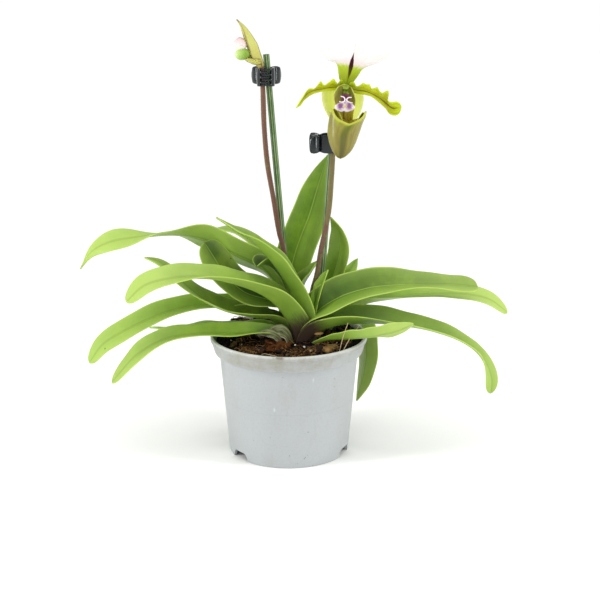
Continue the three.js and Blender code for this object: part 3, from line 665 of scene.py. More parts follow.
# ---- leaves ----
LEAVES = (
    dict(path=((7, -14, 84), (4, -15, 94), (1, -16, 103), (-4, -18, 113.5), (-14, -22, 126), (-31, -28, 137),
               (-58, -37, 146.5), (-85, -45, 148), (-104, -50, 144), (-117, -55, 133)), heading=198, width=36,
         turn=(0, -5, -24), shares=(1, 1, 0.92, 0.83, 0.83), fold=(78, 34, 10), tip=0.4, shoulder=0.66, tone=0.5,
         pale=0.95, stain=1),
    dict(path=((10, -10, 90), (10, -11, 106), (5, -13, 123), (-3, -15, 140), (-14, -17, 156), (-27, -20, 171),
               (-41, -23, 181), (-53, -26, 190)), heading=187, width=34, fold=(60, 44, 14), tip=1.1, shoulder=0.4,
         neck=0.72, tone=0.35, pale=0.4, stain=0.9),
    dict(path=((3, -7, 90), (-6, -8, 105), (-28, -10, 109.5), (-48, -12, 115), (-66, -14, 124.5),
               (-82, -15, 138.5), (-96, -15, 152), (-108, -15, 157)), heading=182, width=26, turn=(0, -10, -12),
         fold=(50, 28, 10), tip=0.9, tone=0.1, pale=0.5, stain=0.5),
    dict(path=((-1, 8, 90), (-14, 7, 103), (-32, 4, 114.5), (-53, 2, 115), (-76, 0, 114), (-96, -3, 109.5),
               (-114, -8, 103), (-125, -11, 98), (-142, -14, 88), (-152, -18, 74.5)), heading=190, width=23.5,
         turn=(0, -22, -30, -38), fold=(46, 30, 12), tip=0.42, shoulder=0.72, tone=0.85, pale=0.7, stain=0.3),
    dict(path=((3, -15, 90), (-6, -16, 97), (-20, -18, 99), (-40, -21, 98.5), (-66, -24, 99.5), (-92, -26, 96),
               (-114, -27, 84), (-134, -28, 62)), heading=186, width=23, turn=(-26, -14, -26), fold=(46, 28, 12),
         tip=0.5, shoulder=0.7, tone=0.5, pale=0.75, stain=0.5),
    dict(path=((-2, 12, 88), (-14, 12, 95), (-38, 10, 95.5), (-62, 10, 95.5), (-90, 14, 92), (-110, 18, 92.5)),
         heading=178, width=17, turn=(0, 0, -6), fold=(45, 20, 10), tip=1, tone=0.9, pale=0.7, stain=0.2),
    dict(path=((8, 0, 91), (1, 0, 110), (-14, -1, 119), (-34, -2, 126), (-48, -3, 140), (-58, -4, 156),
               (-64, -4, 166)), heading=182, width=32, turn=(0, -30, -44), fold=(50, 20, 10), tip=0.4,
         shoulder=0.8, tone=0, pale=0.15, stain=0.4),
    dict(path=((3, 14, 90), (-6, 14, 122), (-20, 13, 142), (-40, 11, 153), (-58, 8, 163), (-72, 6, 168.5),
               (-88, 3, 170.5), (-116, -4, 169.5), (-134, -8, 167), (-148, -10, 160), (-157, -12, 147)),
         heading=186, width=28, turn=(10, 40, 56, 54, 14, -38, -56), shares=(0.6, 0.9, 1, 1, 0.7, 0.74, 0.04),
         fold=(50, 34, 24, 20, 12, 14, 8), shoulder=0.97, tone=0.75, pale=0.9, stain=0.3),
    dict(path=((-2, 17, 90), (-10, 23, 119), (-19, 30, 142), (-32, 38, 158), (-50, 50, 163.5), (-70, 60, 160)),
         heading=150, width=24, fold=(50, 30, 14), tip=0.8, tone=0.5, pale=0.5, stain=0.3),
    dict(path=((4, 8, 91), (0, 8, 118), (-6, 5, 136), (-13, 0, 146), (-19, -7, 150), (-24, -14, 149.5)),
         heading=235, width=21, fold=(55, 50, 44), tip=0.35, shoulder=0.82, tone=0, pale=0.1, stain=0.4),
    dict(path=((11, -15, 84), (15, -16, 93), (24, -18, 100), (38, -21, 106), (58, -25, 109), (82, -28, 108.5),
               (108, -31, 104.5), (130, -34, 97), (142, -35, 88.5), (149, -36, 78), (152.5, -36, 67),
               (152.5, -36, 56.5)), heading=353, width=31, turn=(0, 14, 13, 10, 6, 58),
         shares=(0.5, 0.9, 1, 0.95, 0.86, 0.72, 0.54, 0.5, 0.58), fold=(74, 36, 14), tip=0.45, shoulder=0.85,
         tone=0.3, pale=0.7, stain=1),
    dict(path=((15, -3, 91), (21, -9, 111), (38, -13, 125), (60, -16, 133), (80, -18, 136), (100, -20, 137),
               (120, -21, 137), (142, -22, 135.5)), heading=354, width=35, turn=(0, 52, 38, 18, 16),
         shares=(0.7, 0.95, 1, 0.95, 0.84, 0.74, 0.72, 0.76), fold=(45, 34, 16), tip=0.42, shoulder=0.9,
         tone=0.15, pale=0.5, stain=0.6),
    dict(path=((29, 12, 89), (40, 10, 105), (60, 8, 115), (84, 6, 120), (112, 3, 123), (136, 1, 123.5),
               (154, -1, 120), (168, -3, 110)), heading=356, width=33, turn=(0, 8, 16), fold=(50, 26, 12),
         tip=0.42, tone=0.95, pale=1, stain=0.3),
    dict(path=((19, -18, 90), (28, -25, 95.5), (42, -33, 99), (58, -40, 102.5), (76, -45, 107.5), (92, -48, 115)),
         heading=340, width=19, turn=(-20, -40, -50), fold=(40, 26, 14), tip=0.8, shoulder=0.7, neck=0.25,
         belly=0.6, tone=0.85, pale=1, stain=0.3),
    dict(path=((1, 19, 90), (0, 28, 118), (3, 32, 142), (9, 35, 161), (16, 36, 179), (22, 35, 200),
               (30, 31, 227)), heading=88, width=31, fold=(30, 22, 12), tip=0.9, tone=0.5, pale=0.15, stain=0.2),
    dict(path=((17, 5, 91), (28, 10, 116), (36, 12, 140), (40, 10, 158), (38, 7, 172), (32, 4, 184)), heading=20,
         width=21, turn=(40, 50, 40), fold=(50, 34, 16), tip=0.9, tone=0.65, pale=0.3, stain=0.3),
    dict(path=((28, 17, 90), (35, 22, 110), (44, 26, 128), (54, 28, 146)), heading=40, width=17,
         turn=(30, 30, 20), fold=(50, 30, 14), tip=0.9, tone=0.9, pale=0.4, stain=0.3),
    dict(path=((31, 18, 89), (42, 28, 100), (52, 40, 97), (60, 50, 82), (63, 56, 60), (61, 58, 38), (56, 57, 17)),
         heading=50, width=26, turn=(0, 10, 20), fold=(45, 22, 10), tip=0.8, tone=0.35, pale=0.5, stain=0.3),
    dict(path=((6, 18, 91), (8, 18, 110), (12, 18, 128), (18, 17, 139), (23, 16, 147)), heading=20, width=19,
         turn=(10, 0, 0), fold=(50, 44, 34), tip=0.8, neck=0.7, tone=0.4, pale=0.3, stain=1),
    dict(path=((17, -6, 91), (20, -8, 117), (24, -9, 133), (30, -8, 146)), heading=30, width=11,
         turn=(30, 30, 20), fold=(50, 44, 30), tip=0.9, tone=0.9, pale=0.3, stain=0.8),
)


def leaf_margin(seed, wave):
    """A gentle uneven wave along each margin of a leaf, and a slight unevenness of its face."""
    rng = random.Random(seed)
    waves = {side: [(rng.uniform(1.6, 2.6), rng.random(), 0.7), (rng.uniform(4, 6), rng.random(), 0.35)]
             for side in (-1, 1)}

    def push(x, t):
        side = 1 if x > 0 else -1
        swing = sum(size * sin(tau * (count * t + phase)) for count, phase, size in waves[side])
        calm = ease(0.05, 0.3, t) * (1 - 0.5 * ease(0.85, 1, t))
        grain = noise.noise(Vector((x * 1.5, t * 9, seed * 3.7)))
        return 0.35 * wave * swing * calm, (swing * abs(x) ** 2.5 * wave + grain * 0.35) * calm

    return push


class ORCHID_OT_leaves(bpy.types.Operator):
    """Model every leaf as a thick folded strip with waved margins"""
    bl_idname = PREFIX + "leaves"
    bl_label = "Leaves"

    def execute(self, context):
        plant = context.scene.orchid_plant
        skins = leaf_skin(plant, upper=True), leaf_skin(plant, upper=False)
        for i, shape in enumerate(LEAVES, 1):
            node = f"leaf_{i:02d}"
            piece = blade(node + "_blade", shape, plant.leaf_thickness, plant.leaf_edge,
                          margin=leaf_margin(i, plant.margin_wave / MM))
            for trait in ("tone", "stain", "pale"):
                tint(piece, trait, shape[trait])
            # Which half hangs nearer the viewer, for the painted light on that half.
            tint(piece, "near", 0 if 90 < shape["heading"] < 270 else 1)
            seat(piece, skins, "leaf_tissue", node)
        return {"FINISHED"}


# ---- pot ----
def rounded(corners, radius, steps=4, closed=False):
    """An outline with each of its corners turned into a small arc."""
    corners = [Vector(corner) for corner in corners]
    ring = [corners[-1], *corners, corners[0]] if closed else corners
    outline = [] if closed else [corners[0]]
    for before, corner, after in zip(ring, ring[1:], ring[2:]):
        ends = [corner + (other - corner).normalized() * min(radius, (other - corner).length * 0.45)
                for other in (before, after)]
        for k in range(steps + 1):
            t = k / steps
            outline.append(ends[0].lerp(corner, t).lerp(corner.lerp(ends[1], t), t))
    return outline if closed else [*outline, corners[-1]]


def lathe(name, profile, steps=96):
    """A closed solid turned about Z from (radius, height) points that start and end on the axis."""
    def place(u, v):
        radius, height = profile[round(v * (len(profile) - 1))]
        return Vector((radius * cos(u * tau), radius * sin(u * tau), height))

    return close_up(sheet(name, steps, len(profile) - 1, place))


def prism(name, outline, low, high, spin=0):
    """A closed (across, up) outline drawn out from low to high along X, then turned about Z."""
    turn = Matrix.Rotation(radians(spin), 3, "Z")

    def place(u, v):
        across, up = outline[round(u * len(outline)) % len(outline)]
        return turn @ Vector((low + (high - low) * v, across, up))

    return close_up(sheet(name, len(outline), 1, place))


def cut(piece, tool):
    modify(piece, "BOOLEAN", operation="DIFFERENCE", object=tool, solver="EXACT")
    bpy.data.objects.remove(tool)


class ORCHID_OT_pot(bpy.types.Operator):
    """Turn the pot's thin wall, then cut its three notches and three drain holes"""
    bl_idname = PREFIX + "pot"
    bl_label = "Pot"

    def execute(self, context):
        pot = context.scene.orchid_pot
        height, rim, base, shoulder, drop, wall = (getattr(pot, size) / MM for size in (
            "height", "rim_radius", "base_radius", "shoulder_radius", "collar_drop", "wall"))
        foot = height - drop

        def inner(z):
            return base + (shoulder - base) * z / (foot - 1) - wall

        corners = ((0, 0), (13, 0), (14, 5), (base - wall - 1, 5), (base - wall - 0.4, 0), (base, 0),
                   (shoulder, foot - 1), (rim - 2.8, foot), (rim - 0.5, height - 4.6), (rim + 0.6, height - 3.8),
                   (rim + 0.6, height - 0.6), (rim - 0.2, height), (rim - wall, height - 0.1),
                   (rim - 2.8 - wall, foot + 1.2), (inner(foot), foot), (inner(6.4), 6.4), (13.6, 6.4),
                   (12.4, 1.4), (0, 1.4))
        piece = lathe("pot_wall", rounded(corners, 1.1), 128)
        arch = rounded(((-11.5, -4), (11.5, -4), (9, 1.8), (6.6, 6.6), (-6.6, 6.6), (-9, 1.8)), 2.4, 5,
                       closed=True)
        first_notch, drain_reach, drain_radius = -23, 28, 3.5
        for turn in (first_notch + 120 * i for i in range(3)):
            cut(piece, prism("notch", arch, base - 10, base + 6, turn))
            away = Vector((drain_reach, 0, 5.7)) * MM
            away.rotate(Matrix.Rotation(radians(turn + 60), 3, "Z"))
            bpy.ops.mesh.primitive_cylinder_add(vertices=32, radius=drain_radius * MM, depth=6 * MM,
                                                location=away)
            cut(piece, start("drain"))
        seat(smooth(piece, 40), pot_plastic(pot), "pot_plastic", "pot")
        return {"FINISHED"}


# ---- potting mix and rootstock ----
def scatter(name, models, places):
    """Copies of a few models, each with its own mesh, moved to their places and joined as one piece.
    Each place is a matrix in metres and a tone between 0 and 1."""
    copies = []
    for i, (place, tone) in enumerate(places):
        copy = models[i % len(models)].copy()
        copy.data = copy.data.copy()
        copy.data.transform(place)
        tint(copy, "tone", tone)
        bpy.context.collection.objects.link(copy)
        copies.append(copy)
    for model in models:
        bpy.data.objects.remove(model)
    return join(name, *copies)


def pebble(name, size, seed, boxy=0.6, rough=0.35, segments=10, rings=7):
    """A broken lump: half its size along each axis, squared off and roughened."""
    def place(way):
        swell = 1 + rough * noise.noise(way * 1.7 + Vector((seed * 5.1, 0, 0)))
        return Vector([copysign(abs(c) ** boxy, c) * half * swell for c, half in zip(way, size)])

    return ball(name, segments, rings, place)


def strand(name, rng, length, radius, curl, sides=3, rows=8):
    """A thin curled fibre, lying along X."""
    path = [(0, 0, 0)]
    for i in range(1, 6):
        path.append((length * i / 5, rng.uniform(-curl, curl), rng.uniform(-curl, curl) * 0.5))
    return tube(name, path, radius, sides, rows)


def mix_height(x, y, top):
    """Height of the mix's surface, in millimetres: heaped round the crown and against the wall, and lumpy."""
    reach = hypot(x, y)
    heap = 10 * exp(-((x - 9) ** 2 + (y + 5) ** 2) / 420)
    bank = ease(34, 56, reach) * (1.5 + 4.5 * ease(-0.3, 0.5, y / max(reach, 1)))
    corner = 6 * exp(-((x + 40) ** 2 + (y - 28) ** 2) / 260)
    lumps = 2.2 * noise.noise(Vector((x, y, 0)) * 0.09) + 1.6 * noise.noise(Vector((x, y, 7)) * 0.3)
    return top + heap + bank + corner + lumps


def lay(rng, x, y, z, tilt=20, size=1):
    """A matrix that sets a model down at a point, turned at random and tipped by up to tilt degrees."""
    turns = (Matrix.Rotation(rng.uniform(0, tau), 4, "Z") @
             Matrix.Rotation(radians(rng.uniform(-tilt, tilt)), 4, "X") @
             Matrix.Rotation(radians(rng.uniform(-tilt, tilt)), 4, "Y"))
    return Matrix.Translation(Vector((x, y, z)) * MM) @ turns @ Matrix.Scale(size, 4)


def spread(rng, count, reach, top, lift, tilt=20, tone=(0, 1), sizes=(0.6, 1.2)):
    """Places for so many models all over the mix, inside a radius."""
    for _ in range(count):
        radius, turn = reach * sqrt(rng.random()), rng.uniform(0, tau)
        x, y = radius * cos(turn), radius * sin(turn)
        size = rng.uniform(*sizes)
        yield lay(rng, x, y, mix_height(x, y, top) + lift * size, tilt, size), rng.uniform(*tone)


class ORCHID_OT_mix(bpy.types.Operator):
    """Fill the pot with peat and strew bark, coir, crumbs and perlite over it"""
    bl_idname = PREFIX + "mix"
    bl_label = "Potting mix"

    def execute(self, context):
        mix = context.scene.orchid_mix
        top = mix.top / MM
        rng = random.Random(4)
        inside, heart = 54, 48
        profile = [(0, 1.8), (11.6, 1.8), (13, 6.8), (45, 6.8), (51.2, top - 5), (51.4, top - 2.6),
                   (54.8, top - 1.6), (56, top)]
        profile += [(56 * (1 - k / 40), top) for k in range(1, 41)]
        plug = lathe("mix_plug", profile, 120)
        for vertex in plug.data.vertices:
            x, y, z = vertex.co / MM
            if z > top - 1:
                vertex.co.z = mix_height(x, y, top) * MM
        peat = crumb("mix_peat", "#080503", "#1A110B", "#3A291B", 300, 1.4)
        seat(smooth(plug, 50), peat, "potting_mix", "potting_mix")

        def ground(x, y, lift, tilt, size=1):
            return lay(rng, x, y, mix_height(x, y, top) + lift, tilt, size)

        def strew(name, models, places, finish):
            seat(scatter(name, models, places), finish, "potting_mix")

        bark = [pebble("bark", (6, 3.6, 1.6), 1), pebble("bark", (4.4, 3, 1.3), 2, 0.5),
                pebble("bark", (3.4, 2.2, 1.5), 3, 0.7, 0.5)]
        chips = [*spread(rng, mix.bark_count, heart, top, 0.3, 40, (0, 0.75), (0.4, 1))]
        chips += [(ground(x, y, 1.6, 12, size), tone)
                  for x, y, size, tone in ((31, -21, 1.3, 0.95), (25, -25, 0.8, 0.85), (36, -16, 0.8, 0.9),
                                           (-25, -24, 1.3, 0.4), (-14, -33, 0.9, 0.5), (12, -33, 0.8, 0.3))]
        chips.append((lay(rng, 23, -19.5, 99, 20, 0.5), 1))
        litter = crumb("mix_pine_bark", "#0E0805", "#382617", "#A98650", 340, 0.7)
        strew("mix_bark", bark, chips, litter)
        fibres = [strand("coir", rng, length, radius, curl)
                  for length, radius, curl in ((9, 0.2, 1.6), (12, 0.26, 2.6), (7, 0.2, 2.2), (15, 0.22, 3.4),
                                               (5, 0.3, 1.2))]
        strands = [*spread(rng, mix.fibre_count, inside, top, 1.4, 30, (0.1, 0.85), (0.5, 1.2))]
        # A moss of orange coir in front of the crown, and a bundle of straw-coloured fibre on the right.
        for x, y, reach, count, tone in ((-8, -19, 10, 170, (0.35, 0.75)), (31, -21, 7, 60, (0.7, 1)),
                                         (-36, 22, 12, 70, (0.5, 1)), (-26, -26, 13, 150, (0.3, 0.95)),
                                         (10, -34, 12, 70, (0.3, 0.9))):
            for _ in range(count):
                a, b = x + rng.gauss(0, reach / 2.4), y + rng.gauss(0, reach / 3)
                if hypot(a, b) < inside - 1:
                    strands.append((ground(a, b, rng.uniform(0.4, 4), 40, 0.6), rng.uniform(*tone)))
        # Nothing may poke out through the wall.
        tip = Vector((12 * MM, 0, 0))
        strands = [(place, tone) for place, tone in strands
                   if place.translation.xy.length < 51 * MM and (place @ tip).xy.length < 50 * MM]
        coir = crumb("mix_coir", "#2A170B", "#80501E", "#D6B070", 500, 0.1, 0.8)
        strew("mix_coir", fibres, strands, coir)
        moss = pebble("moss", (9, 5.5, 4.2), 12, 0.8, 0.9, 40, 28)
        dry = crumb("mix_dry_moss", "#1C0F06", "#6A3C14", "#A8722C", 420, 1.6)
        strew("mix_moss", [moss], [(ground(-8, -20, 1.4, 4), 0.4)], dry)
        crumbs = [pebble("crumb", (1.1, 0.9, 0.7), seed, 0.8, 0.6, 7, 5) for seed in (5, 6, 7)]
        bits = [*spread(rng, mix.crumb_count, inside, top, 0.4, 90, (0, 0.45), (0.5, 1.8))]
        dark = crumb("mix_crumbs", "#0C0704", "#2A1C13", "#6B4A2E", 500, 0.4)
        strew("mix_crumbs", crumbs, bits, dark)
        grains = [pebble("grain", (1.2, 1, 0.9), seed, 0.9, 0.5, 8, 6) for seed in (8, 9)]
        white = [*spread(rng, mix.perlite_count, 46, top, 0.9, 90, (0.2, 1), (0.3, 0.6))]
        white += [(ground(x, y, 2, 90, size), 1)
                  for x, y, size in ((12, -24, 0.75), (5, -21, 0.6), (17, -31, 0.5))]
        perlite = crumb("mix_perlite", "#9E9788", "#D2CDC0", "#F4F2EA", 800, 0.3)
        strew("mix_perlite", grains, white, perlite)
        # Two pale roots stand up in front of the right-hand leaves, and a few hang over the left of the rim.
        roots = [tube("root", path, 0.22, 5, 24) for path in (
            ((37, -36, 84), (38.5, -38, 92), (41, -37, 102), (44.6, -35, 112)),
            ((38.5, -37, 84), (41, -38, 91), (46, -36, 100), (53, -33, 109)),
            ((-30, 36, 84), (-38, 40, 92), (-44, 37, 96), (-47, 30, 91)),
            ((-26, 38, 84), (-33, 44, 94), (-39, 42, 99), (-41, 36, 90)),
            ((-22, -30, 84), (-18, -36, 88), (-12, -37, 87), (-6, -34, 85)))]
        straw = crumb("root_hair", "#7C6440", "#C8B083", "#E8DAB4", 400, 0.05, 0.7)
        seat(tint(join("mix_roots", *roots), "tone", 0.7), straw, "potting_mix")
        return {"FINISHED"}


class ORCHID_OT_rootstock(bpy.types.Operator):
    """Model the short rhizome with its growths, and the dry sheath round an old leaf"""
    bl_idname = PREFIX + "rootstock"
    bl_label = "Rootstock"

    def execute(self, context):
        lumps = []
        for i, (centre, size) in enumerate((((9, -12, 82), (9, 8, 9)), ((12, 1, 82), (7, 7, 9)),
                                            ((2, 12, 82), (8, 8, 9)), ((27, 15, 82), (8, 7, 8.5)))):
            lump = pebble("growth", size, i + 20, 0.9, 0.16, 28, 18)
            lump.data.transform(Matrix.Translation(Vector(centre) * MM))
            lumps.append(lump)
        runner = (9, -12, 79), (11, 1, 79), (4, 13, 79), (15, 17, 79), (27, 15, 79)
        lumps.append(tube("rhizome", runner, 4, 14, 40))
        # Brown scale leaves wrap the foot of each growth.
        for i, (x, y, turn) in enumerate(((9, -12, 20), (2, 12, 100), (27, 15, -60), (12, 1, 180))):
            out = Vector((cos(radians(turn)), sin(radians(turn)), 0))
            foot, tip = Vector((x, y, 82)) + out * 6, Vector((x, y, 95)) + out * 8
            shape = dict(path=(foot, foot.lerp(tip, 0.5) + out * 1.2, tip), heading=turn, width=13,
                         fold=(50, 46, 40), tip=0.9, shoulder=0.3, neck=0.9)
            lumps.append(blade("scale", shape, *SCALE_FLESH, 10, 14, leaf_margin(40 + i, 0.8)))
        piece = tint(join("rootstock_growths", *lumps), "tone", 0.35)
        bark = crumb("rootstock_scales", "#241512", "#46302A", "#8E7A55", 260, 0.5, 0.75)
        seat(piece, bark, "rootstock", "rootstock")
        # Two dry sheaths, arched like an eggshell, over the foot of the lowest leaves on the left.
        sheaths = []
        paths = (((3, -17, 91), (1, -19, 100), (-4, -20.5, 105.5), (-11, -21, 105), (-18, -21, 99)),
                 ((-4, -20, 93), (-9, -22, 100.5), (-16, -23, 103), (-25, -22, 99)))
        for i, (path, width) in enumerate(zip(paths, (15, 11))):
            shape = dict(path=path, heading=188, width=width, turn=(-20, -30, -34), fold=(-30, -50, -56), tip=0.6,
                         shoulder=0.5, neck=0.7)
            sheaths.append(blade("leaf_sheath", shape, *SCALE_FLESH, 18, 26, leaf_margin(50 + i, 1.3)))
        # Withered leaf sheath: papery and matt, streaked olive and brown.
        s = Surface("dry_leaf_sheath", Roughness=0.6, Specular_IOR_Level=0.3)
        colour, grain, x, _ = tissue(s, {0: "#4A342C", 0.25: "#76804A", 0.5: "#8C9468", 0.7: "#7B7E58",
                                         0.85: "#A5A888", 1: "#6E5A3C"}, "#3C3626", 12, 0.3, 0.9)
        papery = s.finish(edge_light(s, colour, x, "#B6B89E", 0.42), grain, 0.4)
        seat(join("leaf_sheaths", *sheaths), papery, "rootstock")
        return {"FINISHED"}


# ---- sticks, stems and buds ----
class ORCHID_OT_sticks(bpy.types.Operator):
    """Model the two ribbed support sticks"""
    bl_idname = PREFIX + "sticks"
    bl_label = "Support sticks"

    def execute(self, context):
        hardware = context.scene.orchid_hardware
        radius = hardware.stick_radius / MM
        plastic = stick_plastic(hardware)

        def rib(angle):
            return (0.5 + 0.5 * cos(8 * angle)) ** 0.6

        for name, top, low in (("bud_stick", (-16.5, 20, 304.4), (-4.5, 20, 161.6)),
                               ("flower_stick", (32.8, -4, 250), (24.9, 2, 127.3))):
            top, low = Vector(top), Vector(low)
            foot = low.lerp(top, (30 - low.z) / (top.z - low.z))
            piece = tube(name + "_rod", (foot, low, top), lambda angle, t: radius * (0.86 + 0.14 * rib(angle)),
                         64, 50, fields={"rib": lambda u, v: rib(u * tau)})
            seat(piece, plastic, "stick_plastic", name)
        return {"FINISHED"}


def hairs(name, path, radius, rng, spans, gap=0.9, length=1):
    """Rings of fine hairs along a stem, over the given spans of its length."""
    spine = Spine(path)
    model, count = [], 11
    for i in range(count):
        turn = tau * (i + rng.uniform(-0.3, 0.3)) / count
        out = Vector((cos(turn), sin(turn), 0))
        rise = Vector((0, 0, rng.uniform(-0.5, 0.7)))
        model.append(tube("hair", (out * radius * 0.9, out * (radius + length * rng.uniform(0.6, 1)) + rise),
                          lambda angle, t: 0.055 * (1.1 - t), 3, 2))
    ring = join("hair_ring", *model)
    places = []
    for low, high in spans:
        rings = (high - low) * spine.length / gap
        for i in range(int(rings)):
            t = low + (high - low) * (i + rng.random()) / rings
            turn = spine.heading(t).to_track_quat("Z", "X").to_matrix().to_4x4()
            spin = Matrix.Rotation(rng.uniform(0, tau), 4, "Z")
            places.append((Matrix.Translation(spine.at(t) * MM) @ turn @ spin, rng.random()))
    return scatter(name, [ring], places)


BUD_STEM = ((1, 11, 88), (-0.5, 12.5, 118), (-2.5, 14.5, 140), (-4.6, 16, 159), (-7, 16, 168), (-11.4, 16, 195),
            (-16, 16, 223), (-18.2, 16, 250), (-19.1, 16, 281), (-20, 16, 295))
FLOWER_STEM = ((14, -3, 89), (15.7, -4, 100), (18.2, -5, 128), (21.4, -6, 141), (24.6, -8, 161), (29.3, -9, 185),
               (31.1, -9.5, 200), (32.9, -10, 233), (33.4, -10, 242), (33.8, -9.8, 249))
OVARY = ((33.9, -9.7, 249), (34.8, -9, 256), (36.6, -8.5, 264), (39.6, -9.5, 275), (41.6, -13, 282),
         (42.4, -17, 284.8))
BUD_OVARY = ((-20.1, 15.9, 295), (-21.2, 15, 299.5), (-24.5, 13.5, 302), (-29.5, 11.5, 303.5))


class ORCHID_OT_stems(bpy.types.Operator):
    """Model the two downy stems and the ribbed ovaries on them"""
    bl_idname = PREFIX + "stems"
    bl_label = "Stems and ovaries"

    def execute(self, context):
        plant = context.scene.orchid_plant
        rng = random.Random(11)
        radius = plant.stem_radius / MM
        skin, fuzz = stem_skin(plant), down()
        # The clips grip both stems a little under their tops, where the hairs lie flat.
        for name, path, spans, green in (("bud_stem", BUD_STEM, ((0.1, 0.9), (0.975, 0.995)), -0.22),
                                         ("flower_stem", FLOWER_STEM, ((0.1, 0.885),), 0.08)):
            piece = tube(name + "_skin", path, lambda angle, t: radius * (1 + 0.03 * sin(31 * t)), 24, 90)
            seat(tint(piece, "green", green), skin, "stem_tissue", name)
            seat(hairs(name + "_hairs", path, radius, rng, spans), fuzz, "stem_tissue")
        # Living ovary: dull green skin under down, which softens its edges.
        s = Surface("ovary_ribbed_skin", Roughness=0.6, Sheen_Weight=0.2)
        colour, grain, *_ = tissue(s, {0: "#6F5A3A", 0.4: "#7F8438", 1: "#9AA93A"}, "#55402A", 12)
        ripe = s.finish(colour, grain, 0.2)
        for name, path, size in (("ovary", OVARY, 1.9), ("bud_ovary", BUD_OVARY, 1.6)):
            def ribbed(angle, t):
                return size * (0.86 + 0.14 * sin(pi * t)) * (1 - 0.09 * sin(3 * angle) ** 2)

            piece = tube(name + "_ribs", path, ribbed, 36, 40)
            seat(piece, ripe, "ovary_tissue", name)
            seat(hairs(name + "_hairs", path, size * 0.9, rng, ((0.05, 0.8),), 0.9, 0.7), fuzz, "ovary_tissue")
        return {"FINISHED"}


class ORCHID_OT_bud(bpy.types.Operator):
    """Model the bud, and the bracts behind the bud and behind the flower"""
    bl_idname = PREFIX + "bud"
    bl_label = "Bud and bracts"

    def execute(self, context):
        def globe(way):
            crease = 1 - 0.1 * bump(atan2(way.x, -way.y) + 0.5, 0.16) * ease(-0.9, 0.2, way.z)
            point = 1 + 0.12 * max(0, way.z) ** 6
            return Vector((-35.4, 11, 312.2)) + Vector((way.x * 5, way.y * 4.6, way.z * 4.8 * point)) * crease

        # Petal tissue, still folded: soft, with light inside, and hardly veined.
        s = Surface("bud_petal_skin", (0.12, 0.001, (1, 0.9, 0.85)), Roughness=0.5)
        colour, grain, *_ = tissue(s, {0: "#E4EABB", 0.34: "#F1EBDF", 0.6: "#EAD4D2", 1: "#DDB9BD"}, "#E3C4C6",
                                   12, 0.06, 0.12)
        seat(ball("bud_globe", 40, 28, globe), s.finish(colour, grain), "sepal_white", "bud_dorsal_sepal")
        tilt = Matrix.Rotation(radians(-8), 3, "Y")

        def lobe(way):
            keel = 1 + 0.12 * bump(way.y, 0.25) * max(0, -way.z)
            size = Vector((way.x * 5.6, way.y * 4.6, way.z * (4.2 if way.z < 0 else 3.8)))
            return Vector((-34, 10, 305.6)) + tilt @ size * keel

        # Young sepal: waxy, paler towards its left side.
        s = Surface("bud_sepal_skin", Roughness=0.4, Specular_IOR_Level=0.3)
        place = s.add("TexCoord.Object")
        veins = s.add("TexNoise", s.add("Mapping", place, Scale=(0.3, 1, 1)), Scale=420, Detail=3)
        share = s.add("MapRange", s.add("SeparateXYZ.X", place), -0.04, -0.029)
        mixed = s.add("Math MULTIPLY_ADD", veins, 0.35, share)
        colour = s.add("ValToRGB", mixed, stops={0.1: "#E6ECC6", 0.5: "#AECC6C", 0.95: "#84A83A"})
        seat(ball("bud_lobe", 36, 24, lobe), s.finish(colour, veins), "sepal_green", "bud_synsepal")
        # Bract: thin and papery, mottled purple on one side, with a dark keel and margin.
        s = Surface("bract_papery_skin", (0.08, 0.001, (1, 1, 0.4)), Roughness=0.5)
        colour, grain, x, y = tissue(s, {0: "#8E7A3C", 0.1: "#B8B650", 0.5: "#C6CA6C", 0.88: "#BABC60",
                                         0.95: "#766A40", 1: "#4A3E2C"}, "#C9BE52", 14, 0.06, 0.35)
        colour = s.over(colour, "#8E6E4A", (s.away(x), {0.42: 0, 0.49: 0.75}))
        spots = s.add("TexVoronoi", s.add("TexCoord.Object"), Scale=560)
        colour = s.over(colour, "#5A2620", (y, {0.3: 1, 0.8: 0}), (x, {0.2: 0.9, 0.66: 0}),
                        (spots, {0.2: 0.9, 0.34: 0}))
        papery = s.finish(s.over(colour, "#55402A", (s.away(x), {0.03: 0.85, 0.09: 0})), grain, 0.12)
        bract = dict(path=((-17.8, 16.4, 295.6), (-19.8, 15.6, 303), (-22.4, 14.6, 311), (-26.2, 13.6, 318),
                           (-31.8, 12.6, 325), (-37.9, 12, 330.3)),
                     heading=0, width=20, turn=(12, 12, 12), fold=(70, 60, 30), tip=0.9, neck=0.6, belly=0.3,
                     shoulder=0.3)
        lip = dict(path=((-20, 14.6, 298), (-23.5, 11.8, 297.6), (-28, 10, 299), (-32.5, 9.2, 302)), heading=180,
                   width=9, turn=(30, 30, 20), fold=(50, 48, 30), tip=0.7, neck=0.8, belly=0.3, shoulder=0.4)
        hood = join("bud_bract_hood", blade("hood", bract, *BRACT_FLESH, 20, 30, leaf_margin(31, 0.25)),
                    blade("lip", lip, *BRACT_FLESH, 14, 20, leaf_margin(34, 0.4)))
        seat(hood, papery, "bract_tissue", "bud_bract")
        bract = dict(path=((36, -6.6, 250.2), (37.8, -5, 257), (39.6, -3.8, 263), (41.2, -3.2, 270)),
                     heading=230, width=13, fold=(68, 50, 30), tip=0.9, neck=0.5, belly=0.3,
                     shoulder=0.4)
        seat(blade("flower_bract_hood", bract, *BRACT_FLESH, 20, 26, leaf_margin(32, 0.25)), papery,
             "bract_tissue", "flower_bract")
        return {"FINISHED"}


